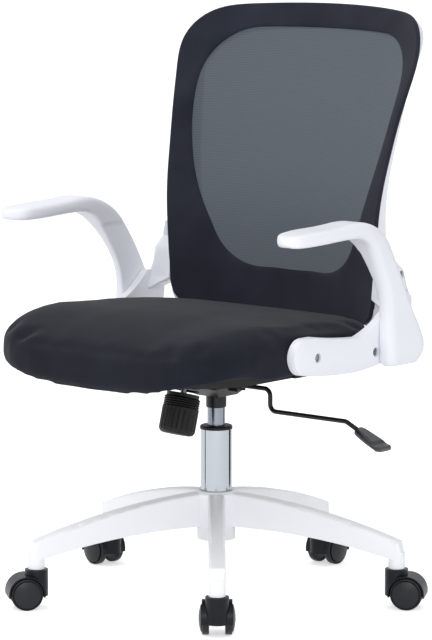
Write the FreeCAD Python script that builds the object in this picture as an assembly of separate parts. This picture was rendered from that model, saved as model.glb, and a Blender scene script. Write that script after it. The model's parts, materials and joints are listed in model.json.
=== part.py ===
import FreeCAD, Part
import math
import os

# Mesh-back office chair with flip-up arms, in millimetres.
# +Z is up, the origin is on the floor under the gas lift, and the sitter faces -Y.

V = FreeCAD.Vector
X_AXIS = V(1, 0, 0)
Y_AXIS = V(0, 1, 0)
Z_AXIS = V(0, 0, 1)
ORIGIN = V(0, 0, 0)

# Fits
RUN = 0.05  # radial clearance of a turning or sliding fit
GAP = 0.3  # clearance between pieces that only lie side by side
FIT = 0.3  # radial clearance of a bolt in its hole

# Casters
WHEEL_R = 25.0
WHEEL_INNER = 12.0  # from the caster's middle plane to the wheel's inner face
TREAD_W = 11.0
DOME_H = 4.8
WEB_W = 23.0  # hood's middle web between the wheels
GUARD_W = 46.0
GUARD_R = 28.5
GUARD_WALL = 2.2
GUARD_LOW = 20.0  # height of the guard's lower edge above the floor
TRAIL = 17.5
HOOD_TOP = 61.4
HOOD_NECK_R = 18.0
AXLE_R = 4.0
STEM_R = 5.5
STEM_FLANGE_R = 9.0
STEM_IN_HOOD = 24.0
STEM_IN_FOOT = 24.0
TRAIL_TURN = (180.0, 7.0, -4.0, 4.0, -7.0)  # each caster's turn from pointing straight out, degrees

# Five-star base
LEGS = 5
LEG_TURN = 40.5  # heading of the first leg, degrees from the front towards +X
FOOT_CIRCLE_R = 292.7
FOOT_Z = HOOD_TOP + 0.6
FOOT_R = 13.0
FOOT_H = 26.0
LEG_W = 26.0
LEG_END_H = 43.0  # leg's top at its end, above the foot's lower face
LEG_END_DEPTH = 31.0
LEG_ROOT_DEPTH = 56.0
LEG_ARCH = 11.5  # how far the leg's top and lower lines bow up
LEG_EDGE_R = 5.0
LEG_WALL = 3.2
LEG_POCKETS = 4
LEG_RIB = 2.5
HUB_R = 34.0
HUB_RISE = 107.0  # hub's top above the foot's lower face
HUB_H = 77.0
HUB_BOSS_R = 30.0
HUB_BOSS_H = 20.0
HUB_EDGE = 4.0

# Gas lift
TUBE_R = 25.0
TUBE_WALL = 2.0
TUBE_TAPER = 1.4  # how much the tube narrows inside the hub
TUBE_SHOWN = 97.0
TUBE_FLOOR = 4.0
CAP_H = 5.5
CAP_LIP = 0.5
BUSH_L = 70.0
GAS_R = 14.0
GAS_WALL = 2.0
GAS_PLUG = 12.0
GAS_SHOWN = 28.5  # inner tube between the cap and the socket
GAS_TAPER = 0.8
GAS_IN_TUBE = 141.5
ROD_R = 5.0
ROD_SPIGOT_R = 4.0
PISTON_L = 15.0
PISTON_RISE = 129.0  # piston's lower face above the tube's floor
BEARING_H = 7.0
BEARING_R = 11.0
CLIP_H = 1.8
CLIP_R = 8.0
CLIP_GROOVE = 0.8
PIN_R = 3.0
PIN_L = 22.0
PIN_LIFT = 4.4  # valve pin's tip above the gas cylinder

# Tilt mechanism
SOCKET_R = 16.0
SOCKET_L = 28.0
SOCKET_DROP = 19.0  # socket's length below the housing's floor
SHEET = 2.5
HOUSING_W = 72.0
HOUSING_FLOOR_W = 44.0  # flat floor between the sloping sides
HOUSING_REAR = 30.0
HOUSING_FLOOR_FRONT = -20.0
HOUSING_WALL_REAR = 34.0
HOUSING_WALL_MID = 41.0
HOUSING_WALL_FRONT = 51.0
HOUSING_CHIN = 16.0  # rise of the sloping sides and front from the floor
HOUSING_STEP_Y = -44.0
HOUSING_H = 58.0  # floor to the seat plate
LEDGE_REACH = 30.0
PIVOT_Y = -30.0
PIVOT_RISE = 27.0
PIVOT_R = 5.0
PIVOT_HEAD_R = 7.0
PIVOT_HEAD_L = 3.0
EAR_R = 10.0
EAR_T = 3.0
PLATE_T = 3.0
PLATE_W = 190.0
PLATE_FRONT = -115.0
PLATE_REAR = 95.0
PLATE_CORNER_R = 20.0
SEAT_BOLT_R = 3.0
SEAT_BOLT_HEAD_R = 5.5
SEAT_BOLT_HEAD_H = 5.0
SEAT_BOLT_L = 12.0
SEAT_BOLT_X = 70.0
SEAT_BOLT_FRONT = -90.0
SEAT_BOLT_REAR = 75.0

# Tilt spring and its knob, along an axis that leans forward at the bottom
LEAN = 15.8  # degrees
KNOB_Y = -96.0  # lower end of the knob
KNOB_DROP = 50.0  # lower end of the knob below the housing's floor
KNOB_R = 28.5
KNOB_L = 58.0
KNOB_WALL = 4.5
KNOB_FLOOR = 12.0
KNOB_BOSS_R = 9.0
KNOB_FLUTES = 20
KNOB_FLUTE_R = 2.6
CUP_H = 5.7
CUP_R = 25.5
SPRING_R = 21.5
SPRING_WIRE = 4.0
SPRING_TURNS = 5
SPRING_L = 34.5
BOLT_R = 5.0
BOLT_TAIL = 8.0
BOLT_TOP = 110.0
ANCHOR_R = 10.0
ANCHOR_LIFT = 1.5
LEDGE_HOLE_R = 10.0

# Height lever
LEVER_R = 3.6
LEVER_INNER = -16.0
LEVER_PIVOT_X = 44.0
LEVER_RISE = 20.0  # lever above the housing's floor
LEVER_BEND_R = 11.0
LEVER_STEP_X = 109.0
LEVER_STEP = 34.0
LEVER_RUN_X = 258.0
LEVER_END_X = 296.0
LEVER_END_DROP = 18.0
PIN_PLAY = 0.4
FORK_T = 3.0
FORK_H = 18.0
TRUNNION_R = 3.0
BUSH_BLOCK_W = 13.4
BUSH_BLOCK_L = 11.0
BUSH_BLOCK_H = 14.0
PADDLE_L = 58.0
PADDLE_ROOT_W = 24.0
PADDLE_TIP_W = 36.0
PADDLE_T = 10.0
PADDLE_SOCKET = 16.0

# Seat
BOARD_T = 12.0
BOARD_INSET = 16.0
UPSTAND_T = 13.0
UPSTAND_H = 32.0
UPSTAND_FRONT = -95.0
UPSTAND_REAR = 85.0
SEAT_HALF_W = 245.0
SEAT_FRONT = -306.0
SEAT_REAR = 150.0
SEAT_FRONT_R = 125.0
SEAT_REAR_R = 110.0
SEAT_LOW = 4.0  # cushion's lower edge above the board's underside
SEAT_APRON = 18.0  # how far the front edge hangs below the board's underside
SEAT_APRON_Y = -215.0
SEAT_CORNER_LIFT = 20.0  # height of the front corners' lower edge above the board's underside
SEAT_CROWN = 82.0  # top of the crown above the board's underside
SEAT_CROWN_Y = -110.0
SEAT_FRONT_FOLD = 46.0
SEAT_REAR_FOLD = 58.0
SEAT_SIDE_DROP = 12.0  # how much lower the crown is at the sides
SEAT_LIP_TUCK = 0.4  # how far the front lip draws in below, as a share of its depth
SEAT_LIP_FOLD = 0.35  # the same at its upper fold
SEAT_TUCK = 14.0  # how far the lower edge draws in

# Seat brackets
BRACKET_T = 16.0
BRACKET_FRONT = -127.0
BRACKET_LOW = -2.5
BRACKET_TOP = 62.5
BRACKET_REAR = 160.0
BRACKET_EDGE_R = 4.0
UPRIGHT_TOP = 185.0
SIDE_BOLT_R = 4.0
SIDE_HEAD_R = 6.2
SIDE_HEAD_H = 4.5
COUNTERBORE_R = 7.0
COUNTERBORE = 8.0
SIDE_BOLTS = ((-73.0, 31.0), (68.0, 24.0))  # Y, height above the board's underside
BACK_BOLT_R = 3.0
BACK_HEAD_R = 5.0
BACK_BOLT_DEPTH = 18.0
BACK_BOLTS = ((150.0, 134.0, 247.0), (152.0, 108.0, 247.0))  # Y, height, X of the bracket's face

# Back
BACK_LOW = 48.0  # back's lower edge above the board's underside
BACK_H = 487.0
BACK_CURVE_R = 395.0
BACK_LINE = ((30.0, 183.0, 22.0), (130.0, 186.0, 22.0), (210.0, 188.0, 16.0), (255.0, 195.0, 11.0), (310.0, 210.5, 7.0),
             (380.0, 235.0, 5.0), (460.0, 269.0, 5.0), (550.0, 295.0, 5.0))  # height, Y, depth of the frame there
BACK_HALF_LOW = 206.0
BACK_HALF_MID = 219.5
BACK_HALF_TOP = 239.5
BACK_CORNER_R = 68.0
BACK_FOOT_R = 30.0
BORDER_T = 8.0
MESH_T = 1.5
MESH_SET = 3.0
FRAME_W = 34.0
FRAME_BAR = 40.0
WINDOW_LOW = 117.0
WINDOW_TOP = 496.0
WINDOW_HALF = 202.0

# Arms
ARM_PIVOT_Y = 100.0
ARM_PIVOT_RISE = 57.0
ARM_PIN_R = 7.0
ARM_PIN_DEPTH = 14.0
ARM_PIN_REACH = 17.0
ARM_PAD_W = 55.0
ARM_LEG_W = 26.0
ARM_PAD_TOP = 231.0
ARM_PAD_T = 22.0
ARM_TIP_Y = -178.0
ARM_TIP_DROP = 4.0

# Heights that follow from the sizes above
HUB_TOP = FOOT_Z + HUB_RISE
HUB_LOW = HUB_TOP - HUB_H
TUBE_TOP = HUB_TOP + TUBE_SHOWN
SOCKET_LOW = TUBE_TOP + CAP_H + GAS_SHOWN
SOCKET_TOP = SOCKET_LOW + SOCKET_L
FLOOR_Z = SOCKET_LOW + SOCKET_DROP
LEVER_Z = FLOOR_Z + LEVER_RISE
GAS_TOP = LEVER_Z - LEVER_R - PIN_PLAY - PIN_LIFT
GAS_LOW = TUBE_TOP + CAP_H - GAS_IN_TUBE
PIVOT_Z = FLOOR_Z + PIVOT_RISE
PLATE_Z = FLOOR_Z + HOUSING_H
BOARD_Z = PLATE_Z + PLATE_T
KNOB_Z = FLOOR_Z - KNOB_DROP
CUP_S = KNOB_L + GAP
SPRING_S = CUP_S + CUP_H + GAP
LEDGE_S = SPRING_S + SPRING_L + GAP
BRACKET_IN = SEAT_HALF_W + 2 * GAP
BRACKET_OUT = BRACKET_IN + BRACKET_T
ARM_IN = BRACKET_OUT + GAP
ARM_PAD_INNER = ARM_IN - 12.0
ARM_PIVOT_Z = BOARD_Z + ARM_PIVOT_RISE
FAR = 1000.0  # longer than the chair, for cutting tools


def closed_wire(start, *steps):
    """Closed wire from a start point. A point adds a line, and a (via, end) pair adds an arc."""
    edges = []
    here = start
    for step in steps:
        if isinstance(step, tuple):
            via, end = step
            edges.append(Part.Arc(here, via, end).toShape())
        else:
            end = step
            edges.append(Part.LineSegment(here, end).toShape())
        here = end
    if here.distanceToPoint(start) > 1e-6:
        edges.append(Part.LineSegment(here, start).toShape())
    return Part.Wire(edges)


def prism(wire, direction):
    """Solid made by pushing a flat wire along a direction."""
    return Part.Face(wire).extrude(direction)


def turned(points, axis=Z_AXIS):
    """Solid of revolution from (radius, height) points, where a pair of points is an arc."""

    def place(p):
        return V(p[0], 0, p[1])

    steps = [tuple(place(q) for q in p) if isinstance(p[0], tuple) else place(p) for p in points[1:]]
    solid = Part.Face(closed_wire(place(points[0]), *steps)).revolve(ORIGIN, Z_AXIS, 360)
    solid.Placement = FreeCAD.Placement(ORIGIN, FreeCAD.Rotation(Z_AXIS, axis))
    return solid


def rod(radius, start, end):
    """Round bar between two points."""
    return Part.makeCylinder(radius, start.distanceToPoint(end), start, end - start)


def block(low, high):
    """Box between two corners."""
    size = high - low
    return Part.makeBox(size.x, size.y, size.z, low)


def plan(x, y, z=0.0):
    return V(x, y, z)


def side(y, z, x=0.0):
    return V(x, y, z)


def front(x, z, y=0.0):
    return V(x, y, z)


def rounded_plan(half_w, y_front, y_rear, r_front, r_rear, z):
    """Rectangle in plan with its own corner radius at the front and at the rear."""
    k = math.sqrt(0.5)
    xf = half_w - r_front
    xr = half_w - r_rear
    yf = y_front + r_front
    yr = y_rear - r_rear
    return closed_wire(
        plan(-xf, y_front, z),
        plan(xf, y_front, z),
        (plan(xf + k * r_front, yf - k * r_front, z), plan(half_w, yf, z)),
        plan(half_w, yr, z),
        (plan(xr + k * r_rear, yr + k * r_rear, z), plan(xr, y_rear, z)),
        plan(-xr, y_rear, z),
        (plan(-xr - k * r_rear, yr + k * r_rear, z), plan(-half_w, yr, z)),
        plan(-half_w, yf, z),
        (plan(-xf - k * r_front, yf - k * r_front, z), plan(-xf, y_front, z)),
    )


def mirrored(shape):
    return shape.mirror(ORIGIN, X_AXIS)


def heading(degrees):
    """Turn that takes +X to a heading measured from the front towards +X."""
    return FreeCAD.Rotation(Z_AXIS, degrees - 90)


# Five-star base


def leg_line(r, reach, z_root, z_end):
    """Height of a leg's bowed line at radius r."""
    t = r / reach
    return z_root + (z_end - z_root) * t + 4 * LEG_ARCH * t * (1 - t)


def leg():
    """One arched leg along +X, hollow and ribbed underneath, with the foot that takes a caster."""
    reach = FOOT_CIRCLE_R + 0.4 * FOOT_R
    end_top = FOOT_Z + LEG_END_H
    end_low = end_top - LEG_END_DEPTH
    root_low = HUB_TOP - LEG_ROOT_DEPTH
    half = 0.5 * LEG_W
    toe = FOOT_CIRCLE_R + FOOT_R

    def top(r):
        return front(r, leg_line(r, reach, HUB_TOP, end_top), -half)

    def low(r):
        return front(r, leg_line(r, reach, root_low, end_low), -half)

    profile = closed_wire(
        low(0), top(0), (top(0.5 * reach), top(reach)), front(toe, end_low, -half), low(reach),
        (low(0.5 * reach), low(0)),
    )
    body = prism(profile, V(0, LEG_W, 0))
    top_edges = [
        e for e in body.Edges
        if e.BoundBox.YLength < 1e-6 and e.BoundBox.ZMin > end_top - 0.01
    ]
    body = body.makeFillet(LEG_EDGE_R, top_edges)
    stadium = closed_wire(
        plan(0, -half), plan(FOOT_CIRCLE_R, -half),
        (plan(FOOT_CIRCLE_R + half, 0), plan(FOOT_CIRCLE_R, half)), plan(0, half),
    )
    body = body.common(prism(stadium, V(0, 0, FAR)))
    pocket_start = HUB_R + LEG_WALL
    pocket_end = FOOT_CIRCLE_R - FOOT_R - LEG_WALL
    step = (pocket_end - pocket_start + LEG_RIB) / LEG_POCKETS
    lid = V(0, LEG_WALL, -LEG_WALL - LEG_EDGE_R)
    for i in range(LEG_POCKETS):
        r0 = pocket_start + i * step
        r1 = r0 + step - LEG_RIB
        rm = 0.5 * (r0 + r1)
        pocket = closed_wire(
            front(r0, 0, LEG_WALL - half), top(r0) + lid, (top(rm) + lid, top(r1) + lid),
            front(r1, 0, LEG_WALL - half),
        )
        body = body.cut(prism(pocket, V(0, LEG_W - 2 * LEG_WALL, 0)))
    foot = rod(FOOT_R, V(FOOT_CIRCLE_R, 0, FOOT_Z), V(FOOT_CIRCLE_R, 0, FOOT_Z + FOOT_H))
    return body.fuse(foot)


def base_star():
    hub = turned([
        (0, HUB_LOW), (HUB_BOSS_R, HUB_LOW), (HUB_BOSS_R, HUB_LOW + HUB_BOSS_H),
        (HUB_R, HUB_LOW + HUB_BOSS_H), (HUB_R, HUB_TOP - HUB_EDGE), (HUB_R - HUB_EDGE, HUB_TOP), (0, HUB_TOP),
    ])
    star = hub
    sockets = []
    for k in range(LEGS):
        turn = heading(LEG_TURN + k * 360 / LEGS)
        spoke = leg()
        spoke.Placement = FreeCAD.Placement(ORIGIN, turn)
        star = star.fuse(spoke)
        at = turn.multVec(V(FOOT_CIRCLE_R, 0, FOOT_Z))
        sockets.append(rod(STEM_R + RUN, at, at + V(0, 0, STEM_IN_FOOT + GAP)))
    bore = turned([
        (0, HUB_LOW - 1), (TUBE_R - TUBE_TAPER + RUN, HUB_LOW - 1), (TUBE_R - TUBE_TAPER + RUN, HUB_LOW),
        (TUBE_R + RUN, HUB_TOP), (TUBE_R + RUN, HUB_TOP + 1), (0, HUB_TOP + 1),
    ])
    return star.cut(Part.makeCompound(sockets + [bore]))


# Casters, made about the stem with the wheels trailing along +X


def caster_hood():
    centre = V(TRAIL, 0, WHEEL_R)
    reach = V(0, 0.5 * GUARD_W, 0)
    guard = rod(GUARD_R, centre - reach, centre + reach)
    guard = guard.common(block(V(-FAR, -FAR, GUARD_LOW), V(FAR, FAR, HOOD_TOP)))
    neck = rod(HOOD_NECK_R, V(0, 0, GUARD_LOW), V(0, 0, HOOD_TOP))
    hood = guard.fuse(neck)
    for sign in (-1, 1):
        inner = centre + V(0, sign * 0.5 * WEB_W, 0)
        hood = hood.cut(rod(GUARD_R - GUARD_WALL, inner, inner + V(0, sign * GUARD_W, 0)))
    hood = hood.cut(rod(AXLE_R + RUN, centre - reach, centre + reach))
    return hood.cut(rod(STEM_R + RUN, V(0, 0, HOOD_TOP - STEM_IN_HOOD), V(0, 0, HOOD_TOP)))


def caster_stem():
    seat_z = FOOT_Z - RUN
    low = HOOD_TOP - STEM_IN_HOOD + GAP
    return turned([
        (0, low), (STEM_R, low), (STEM_R, HOOD_TOP), (STEM_FLANGE_R, HOOD_TOP), (STEM_FLANGE_R, seat_z),
        (STEM_R, seat_z), (STEM_R, FOOT_Z + STEM_IN_FOOT - 1), (STEM_R - 1, FOOT_Z + STEM_IN_FOOT),
        (0, FOOT_Z + STEM_IN_FOOT),
    ])


def caster_axle():
    reach = V(0, WHEEL_INNER + TREAD_W - GAP, 0)
    centre = V(TRAIL, 0, WHEEL_R)
    return rod(AXLE_R, centre - reach, centre + reach)


def caster_wheel(sign):
    rim = WHEEL_INNER + TREAD_W
    disc_r = WHEEL_R - 3.6
    dome_r = disc_r - 0.6
    wheel = turned([
        (AXLE_R + RUN, WHEEL_INNER), (WHEEL_R - 1.2, WHEEL_INNER), (WHEEL_R, WHEEL_INNER + 1.2),
        (WHEEL_R, rim - 1.4), (WHEEL_R - 1.4, rim), (disc_r + 1.0, rim), (disc_r + 0.6, rim - 1.2),
        (disc_r, rim - 1.2), (dome_r, rim + 1.2), (0.62 * dome_r, rim + 0.78 * DOME_H),
        (0.25 * dome_r, rim + DOME_H), (0, rim + DOME_H), (0, rim), (AXLE_R + RUN, rim),
    ], V(0, sign, 0))
    wheel.translate(V(TRAIL, 0, WHEEL_R))
    return wheel


def place_caster(shape, k):
    out = LEG_TURN + k * 360 / LEGS
    foot = heading(out).multVec(V(FOOT_CIRCLE_R, 0, 0))
    placed = shape.copy()
    turn = FreeCAD.Placement(foot, heading(out + TRAIL_TURN[k]))
    placed.Placement = turn.multiply(shape.Placement)
    return placed


# Gas lift


def column_tube():
    low_r = TUBE_R - TUBE_TAPER
    inner = TUBE_R - TUBE_WALL
    hole = ROD_SPIGOT_R + RUN
    return turned([
        (hole, HUB_LOW), (low_r, HUB_LOW), (TUBE_R, HUB_TOP), (TUBE_R, TUBE_TOP), (inner, TUBE_TOP),
        (inner, HUB_TOP), (low_r - TUBE_WALL, HUB_LOW + TUBE_FLOOR), (hole, HUB_LOW + TUBE_FLOOR),
    ])


def guide_bush():
    bore = GAS_R + RUN
    sleeve = TUBE_R - TUBE_WALL - RUN
    cap = TUBE_R + CAP_LIP
    top = TUBE_TOP + CAP_H
    round_r = 0.4 * CAP_H
    return turned([
        (bore, TUBE_TOP - BUSH_L), (sleeve, TUBE_TOP - BUSH_L), (sleeve, TUBE_TOP), (cap, TUBE_TOP),
        (cap, top - round_r), ((cap - 0.3 * round_r, top - 0.3 * round_r), (cap - round_r, top)), (bore, top),
    ])


def thrust_bearing():
    low = HUB_LOW + TUBE_FLOOR
    return turned([
        (ROD_SPIGOT_R + RUN, low), (BEARING_R, low), (BEARING_R, low + BEARING_H),
        (ROD_SPIGOT_R + RUN, low + BEARING_H),
    ])


def piston_rod():
    shoulder = HUB_LOW + TUBE_FLOOR + BEARING_H + RUN
    groove = ROD_SPIGOT_R - CLIP_GROOVE
    clip_top = HUB_LOW - GAP
    clip_low = clip_top - CLIP_H
    piston = HUB_LOW + TUBE_FLOOR + PISTON_RISE
    piston_r = GAS_R - GAS_WALL - RUN
    return turned([
        (0, clip_low - 3), (ROD_SPIGOT_R, clip_low - 3), (ROD_SPIGOT_R, clip_low), (groove, clip_low),
        (groove, clip_top), (ROD_SPIGOT_R, clip_top), (ROD_SPIGOT_R, shoulder), (ROD_R, shoulder),
        (ROD_R, piston), (piston_r, piston), (piston_r, piston + PISTON_L), (0, piston + PISTON_L),
    ])


def retaining_clip():
    low = HUB_LOW - GAP - CLIP_H + RUN
    high = HUB_LOW - GAP - RUN
    bore = ROD_SPIGOT_R - CLIP_GROOVE + RUN
    ring = turned([(bore, low), (CLIP_R, low), (CLIP_R, high), (bore, high)])
    return ring.cut(block(V(0, -bore, low - 1), V(FAR, bore, high + 1)))


def gas_cylinder():
    inner = GAS_R - GAS_WALL
    hole = ROD_R + RUN
    pin = PIN_R + RUN
    return turned([
        (hole, GAS_LOW), (GAS_R, GAS_LOW), (GAS_R, SOCKET_LOW), (GAS_R - GAS_TAPER, GAS_TOP), (pin, GAS_TOP),
        (pin, GAS_TOP - GAS_PLUG), (inner, GAS_TOP - GAS_PLUG), (inner, GAS_LOW + GAS_PLUG), (hole, GAS_LOW + GAS_PLUG),
    ])


def release_pin():
    top = GAS_TOP + PIN_LIFT
    return turned([
        (0, top - PIN_L), (PIN_R, top - PIN_L), (PIN_R, top - 1), (PIN_R - 1, top), (0, top),
    ])


# Tilt mechanism


def taper_socket():
    rise = GAS_TOP - SOCKET_LOW
    narrow = GAS_TAPER * SOCKET_L / rise
    return turned([
        (GAS_R + RUN, SOCKET_LOW), (SOCKET_R - 1, SOCKET_LOW), (SOCKET_R, SOCKET_LOW + 1),
        (SOCKET_R, SOCKET_TOP), (GAS_R - narrow + RUN, SOCKET_TOP),
    ])


def on_knob_axis(s, out=0.0):
    """Point at a distance s up the knob's leaning axis, and out towards the rear across it."""
    lean = math.radians(LEAN)
    y = KNOB_Y + s * math.sin(lean) + out * math.cos(lean)
    return V(0, y, KNOB_Z + s * math.cos(lean) - out * math.sin(lean))


def lean_to_knob(shape):
    """Takes a piece made along +Z to the knob's axis."""
    shape.Placement = FreeCAD.Placement(on_knob_axis(0), FreeCAD.Rotation(X_AXIS, -LEAN))
    return shape


def housing_block(inset):
    """Outside of the housing, or its hollow when drawn in by the sheet: a boat that rises to a ledge in front."""
    half = 0.5 * HOUSING_W - inset
    floor_half = 0.5 * HOUSING_FLOOR_W - 0.4 * inset
    low = FLOOR_Z + inset
    chin = low + HOUSING_CHIN
    top = FAR if inset else FLOOR_Z + HOUSING_H
    slope = math.tan(math.radians(LEAN))
    ledge = on_knob_axis(LEDGE_S + inset)
    step = HOUSING_STEP_Y + inset
    rear = HOUSING_REAR - inset
    if inset:
        ledge_end = side(-FAR, ledge.z + slope * (FAR + ledge.y))
        lid = [side(rear, top)]
    else:
        ledge_end = on_knob_axis(LEDGE_S, -LEDGE_REACH)
        lid = [
            on_knob_axis(LEDGE_S + SHEET, -LEDGE_REACH), side(step, FLOOR_Z + HOUSING_WALL_FRONT),
            side(0, FLOOR_Z + HOUSING_WALL_MID), side(rear, FLOOR_Z + HOUSING_WALL_REAR),
        ]
    profile = closed_wire(
        side(rear, low + 0.3 * HOUSING_CHIN), side(rear - 6, low), side(HOUSING_FLOOR_FRONT, low), side(step, chin),
        side(step, ledge.z + slope * (ledge.y - step)), ledge_end, *lid,
    )
    body = prism(profile, V(2 * half, 0, 0))
    body.translate(V(-half, 0, 0))
    bow = closed_wire(
        front(-floor_half, low, -FAR), front(floor_half, low, -FAR), front(half, chin, -FAR), front(half, 2 * FAR, -FAR),
        front(-half, 2 * FAR, -FAR), front(-half, chin, -FAR),
    )
    return body.common(prism(bow, V(0, 2 * FAR, 0)))


def tilt_housing():
    half = 0.5 * HOUSING_W
    shell = housing_block(0).cut(housing_block(SHEET))
    pin = side(PIVOT_Y, PIVOT_Z)
    fork_y = 0.5 * BUSH_BLOCK_W + GAP
    fork_z = LEVER_Z - 0.5 * FORK_H
    fork_end = LEVER_PIVOT_X + TRUNNION_R + 4
    for sign in (-1, 1):
        low = min(sign * fork_y, sign * (fork_y + FORK_T))
        cheek = block(V(half - SHEET, low, fork_z), V(fork_end, low + FORK_T, fork_z + FORK_H))
        shell = shell.fuse(cheek)
    holes = [
        rod(SOCKET_R + RUN, V(0, 0, FLOOR_Z - 1), V(0, 0, FLOOR_Z + SHEET + 1)),
        rod(PIVOT_R + RUN, pin - V(FAR, 0, 0), pin + V(FAR, 0, 0)),
        rod(LEDGE_HOLE_R, on_knob_axis(LEDGE_S - 1), on_knob_axis(LEDGE_S + SHEET + 1)),
        rod(TRUNNION_R + RUN, V(LEVER_PIVOT_X, -FAR, LEVER_Z), V(LEVER_PIVOT_X, FAR, LEVER_Z)),
        block(V(half - 3 * SHEET, -fork_y, fork_z), V(half + 1, fork_y, fork_z + FORK_H)),
    ]
    return shell.cut(Part.makeCompound(holes))


def tilt_pivot_pin():
    ear_out = 0.5 * HOUSING_W + 2 * GAP + EAR_T
    pin = side(PIVOT_Y, PIVOT_Z)
    bar = rod(PIVOT_R, pin - V(ear_out + GAP, 0, 0), pin + V(ear_out + GAP, 0, 0))
    for sign in (-1, 1):
        start = pin + V(sign * (ear_out + GAP), 0, 0)
        bar = bar.fuse(rod(PIVOT_HEAD_R, start, start + V(sign * PIVOT_HEAD_L, 0, 0)))
    return bar


def seat_bolt_places():
    return [(sx * SEAT_BOLT_X, y) for sx in (-1, 1) for y in (SEAT_BOLT_FRONT, SEAT_BOLT_REAR)]


def seat_plate():
    outline = rounded_plan(0.5 * PLATE_W, PLATE_FRONT, PLATE_REAR, PLATE_CORNER_R, PLATE_CORNER_R, PLATE_Z)
    plate = prism(outline, V(0, 0, PLATE_T))
    ear_in = 0.5 * HOUSING_W + 2 * GAP
    ear = closed_wire(
        side(PIVOT_Y - EAR_R, PLATE_Z + 0.5 * PLATE_T), side(PIVOT_Y - EAR_R, PIVOT_Z),
        (side(PIVOT_Y, PIVOT_Z - EAR_R), side(PIVOT_Y + EAR_R, PIVOT_Z)),
        side(PIVOT_Y + EAR_R, PLATE_Z + 0.5 * PLATE_T),
    )
    flange = prism(ear, V(EAR_T, 0, 0))
    flange.translate(V(ear_in, 0, 0))
    anchor = rod(ANCHOR_R, on_knob_axis(LEDGE_S + SHEET + ANCHOR_LIFT), on_knob_axis(BOLT_TOP + ANCHOR_R))
    anchor = anchor.common(block(V(-FAR, -FAR, 0), V(FAR, FAR, PLATE_Z + 0.5 * PLATE_T)))
    plate = plate.multiFuse([flange, mirrored(flange), anchor])
    pin = side(PIVOT_Y, PIVOT_Z)
    holes = [
        rod(PIVOT_R + RUN, pin - V(FAR, 0, 0), pin + V(FAR, 0, 0)),
        rod(BOLT_R + RUN, on_knob_axis(0), on_knob_axis(BOLT_TOP + RUN)),
    ]
    for x, y in seat_bolt_places():
        holes.append(rod(SEAT_BOLT_R + FIT, V(x, y, PLATE_Z - 1), V(x, y, PLATE_Z + PLATE_T + 1)))
    return plate.cut(Part.makeCompound(holes))


def seat_bolts():
    bolts = []
    for x, y in seat_bolt_places():
        bolt = turned([
            (0, PLATE_Z - SEAT_BOLT_HEAD_H), (SEAT_BOLT_HEAD_R, PLATE_Z - SEAT_BOLT_HEAD_H),
            (SEAT_BOLT_HEAD_R, PLATE_Z), (SEAT_BOLT_R, PLATE_Z), (SEAT_BOLT_R, PLATE_Z + SEAT_BOLT_L),
            (0, PLATE_Z + SEAT_BOLT_L),
        ])
        bolt.translate(V(x, y, 0))
        bolts.append(bolt)
    return Part.makeCompound(bolts)


def tension_bolt():
    return rod(BOLT_R, on_knob_axis(BOLT_TAIL), on_knob_axis(BOLT_TOP))


def tension_knob():
    bore = BOLT_R + RUN
    hollow = KNOB_R - KNOB_WALL
    knob = turned([
        (0, 0), (KNOB_R - 3, 0), ((KNOB_R - 0.9, 0.9), (KNOB_R, 3)), (KNOB_R - 0.6, KNOB_L - 2),
        (KNOB_R - 2, KNOB_L), (hollow, KNOB_L), (hollow, KNOB_FLOOR), (KNOB_BOSS_R, KNOB_FLOOR),
        (KNOB_BOSS_R, KNOB_L), (bore, KNOB_L), (bore, BOLT_TAIL - 2), (0, BOLT_TAIL - 2),
    ])
    flutes = []
    for i in range(KNOB_FLUTES):
        a = 2 * math.pi * i / KNOB_FLUTES
        at = V((KNOB_R + 0.6 * KNOB_FLUTE_R) * math.cos(a), (KNOB_R + 0.6 * KNOB_FLUTE_R) * math.sin(a), -1)
        flutes.append(rod(KNOB_FLUTE_R, at, at + V(0, 0, 0.8 * KNOB_L)))
    return lean_to_knob(knob.cut(Part.makeCompound(flutes)))


def spring_cup():
    bore = BOLT_R + RUN
    return lean_to_knob(turned([
        (bore, CUP_S), (CUP_R, CUP_S), (CUP_R, CUP_S + CUP_H), (bore, CUP_S + CUP_H),
    ]))


def biarc(p, tangent_p, q, tangent_q):
    """Two arcs that leave p along one tangent, reach q along the other and join smoothly."""
    chord = q - p
    total = tangent_p + tangent_q
    spread = 2 * (1 - tangent_p.dot(tangent_q))
    along = chord.dot(total)
    d = (math.sqrt(along * along + spread * chord.dot(chord)) - along) / spread
    corner_p = p + tangent_p * d
    corner_q = q - tangent_q * d
    joint = (corner_p + corner_q) * 0.5
    edges = []
    for a, corner, b in ((p, corner_p, joint), (joint, corner_q, q)):
        middle = (a + b) * 0.5
        rise = corner - middle
        half_chord = 0.5 * a.distanceToPoint(b)
        turn = 2 * math.atan2(rise.Length, half_chord)
        top = middle + rise * (half_chord * math.tan(0.25 * turn) / rise.Length)
        edges.append(Part.Arc(a, top, b).toShape())
    return edges


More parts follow.
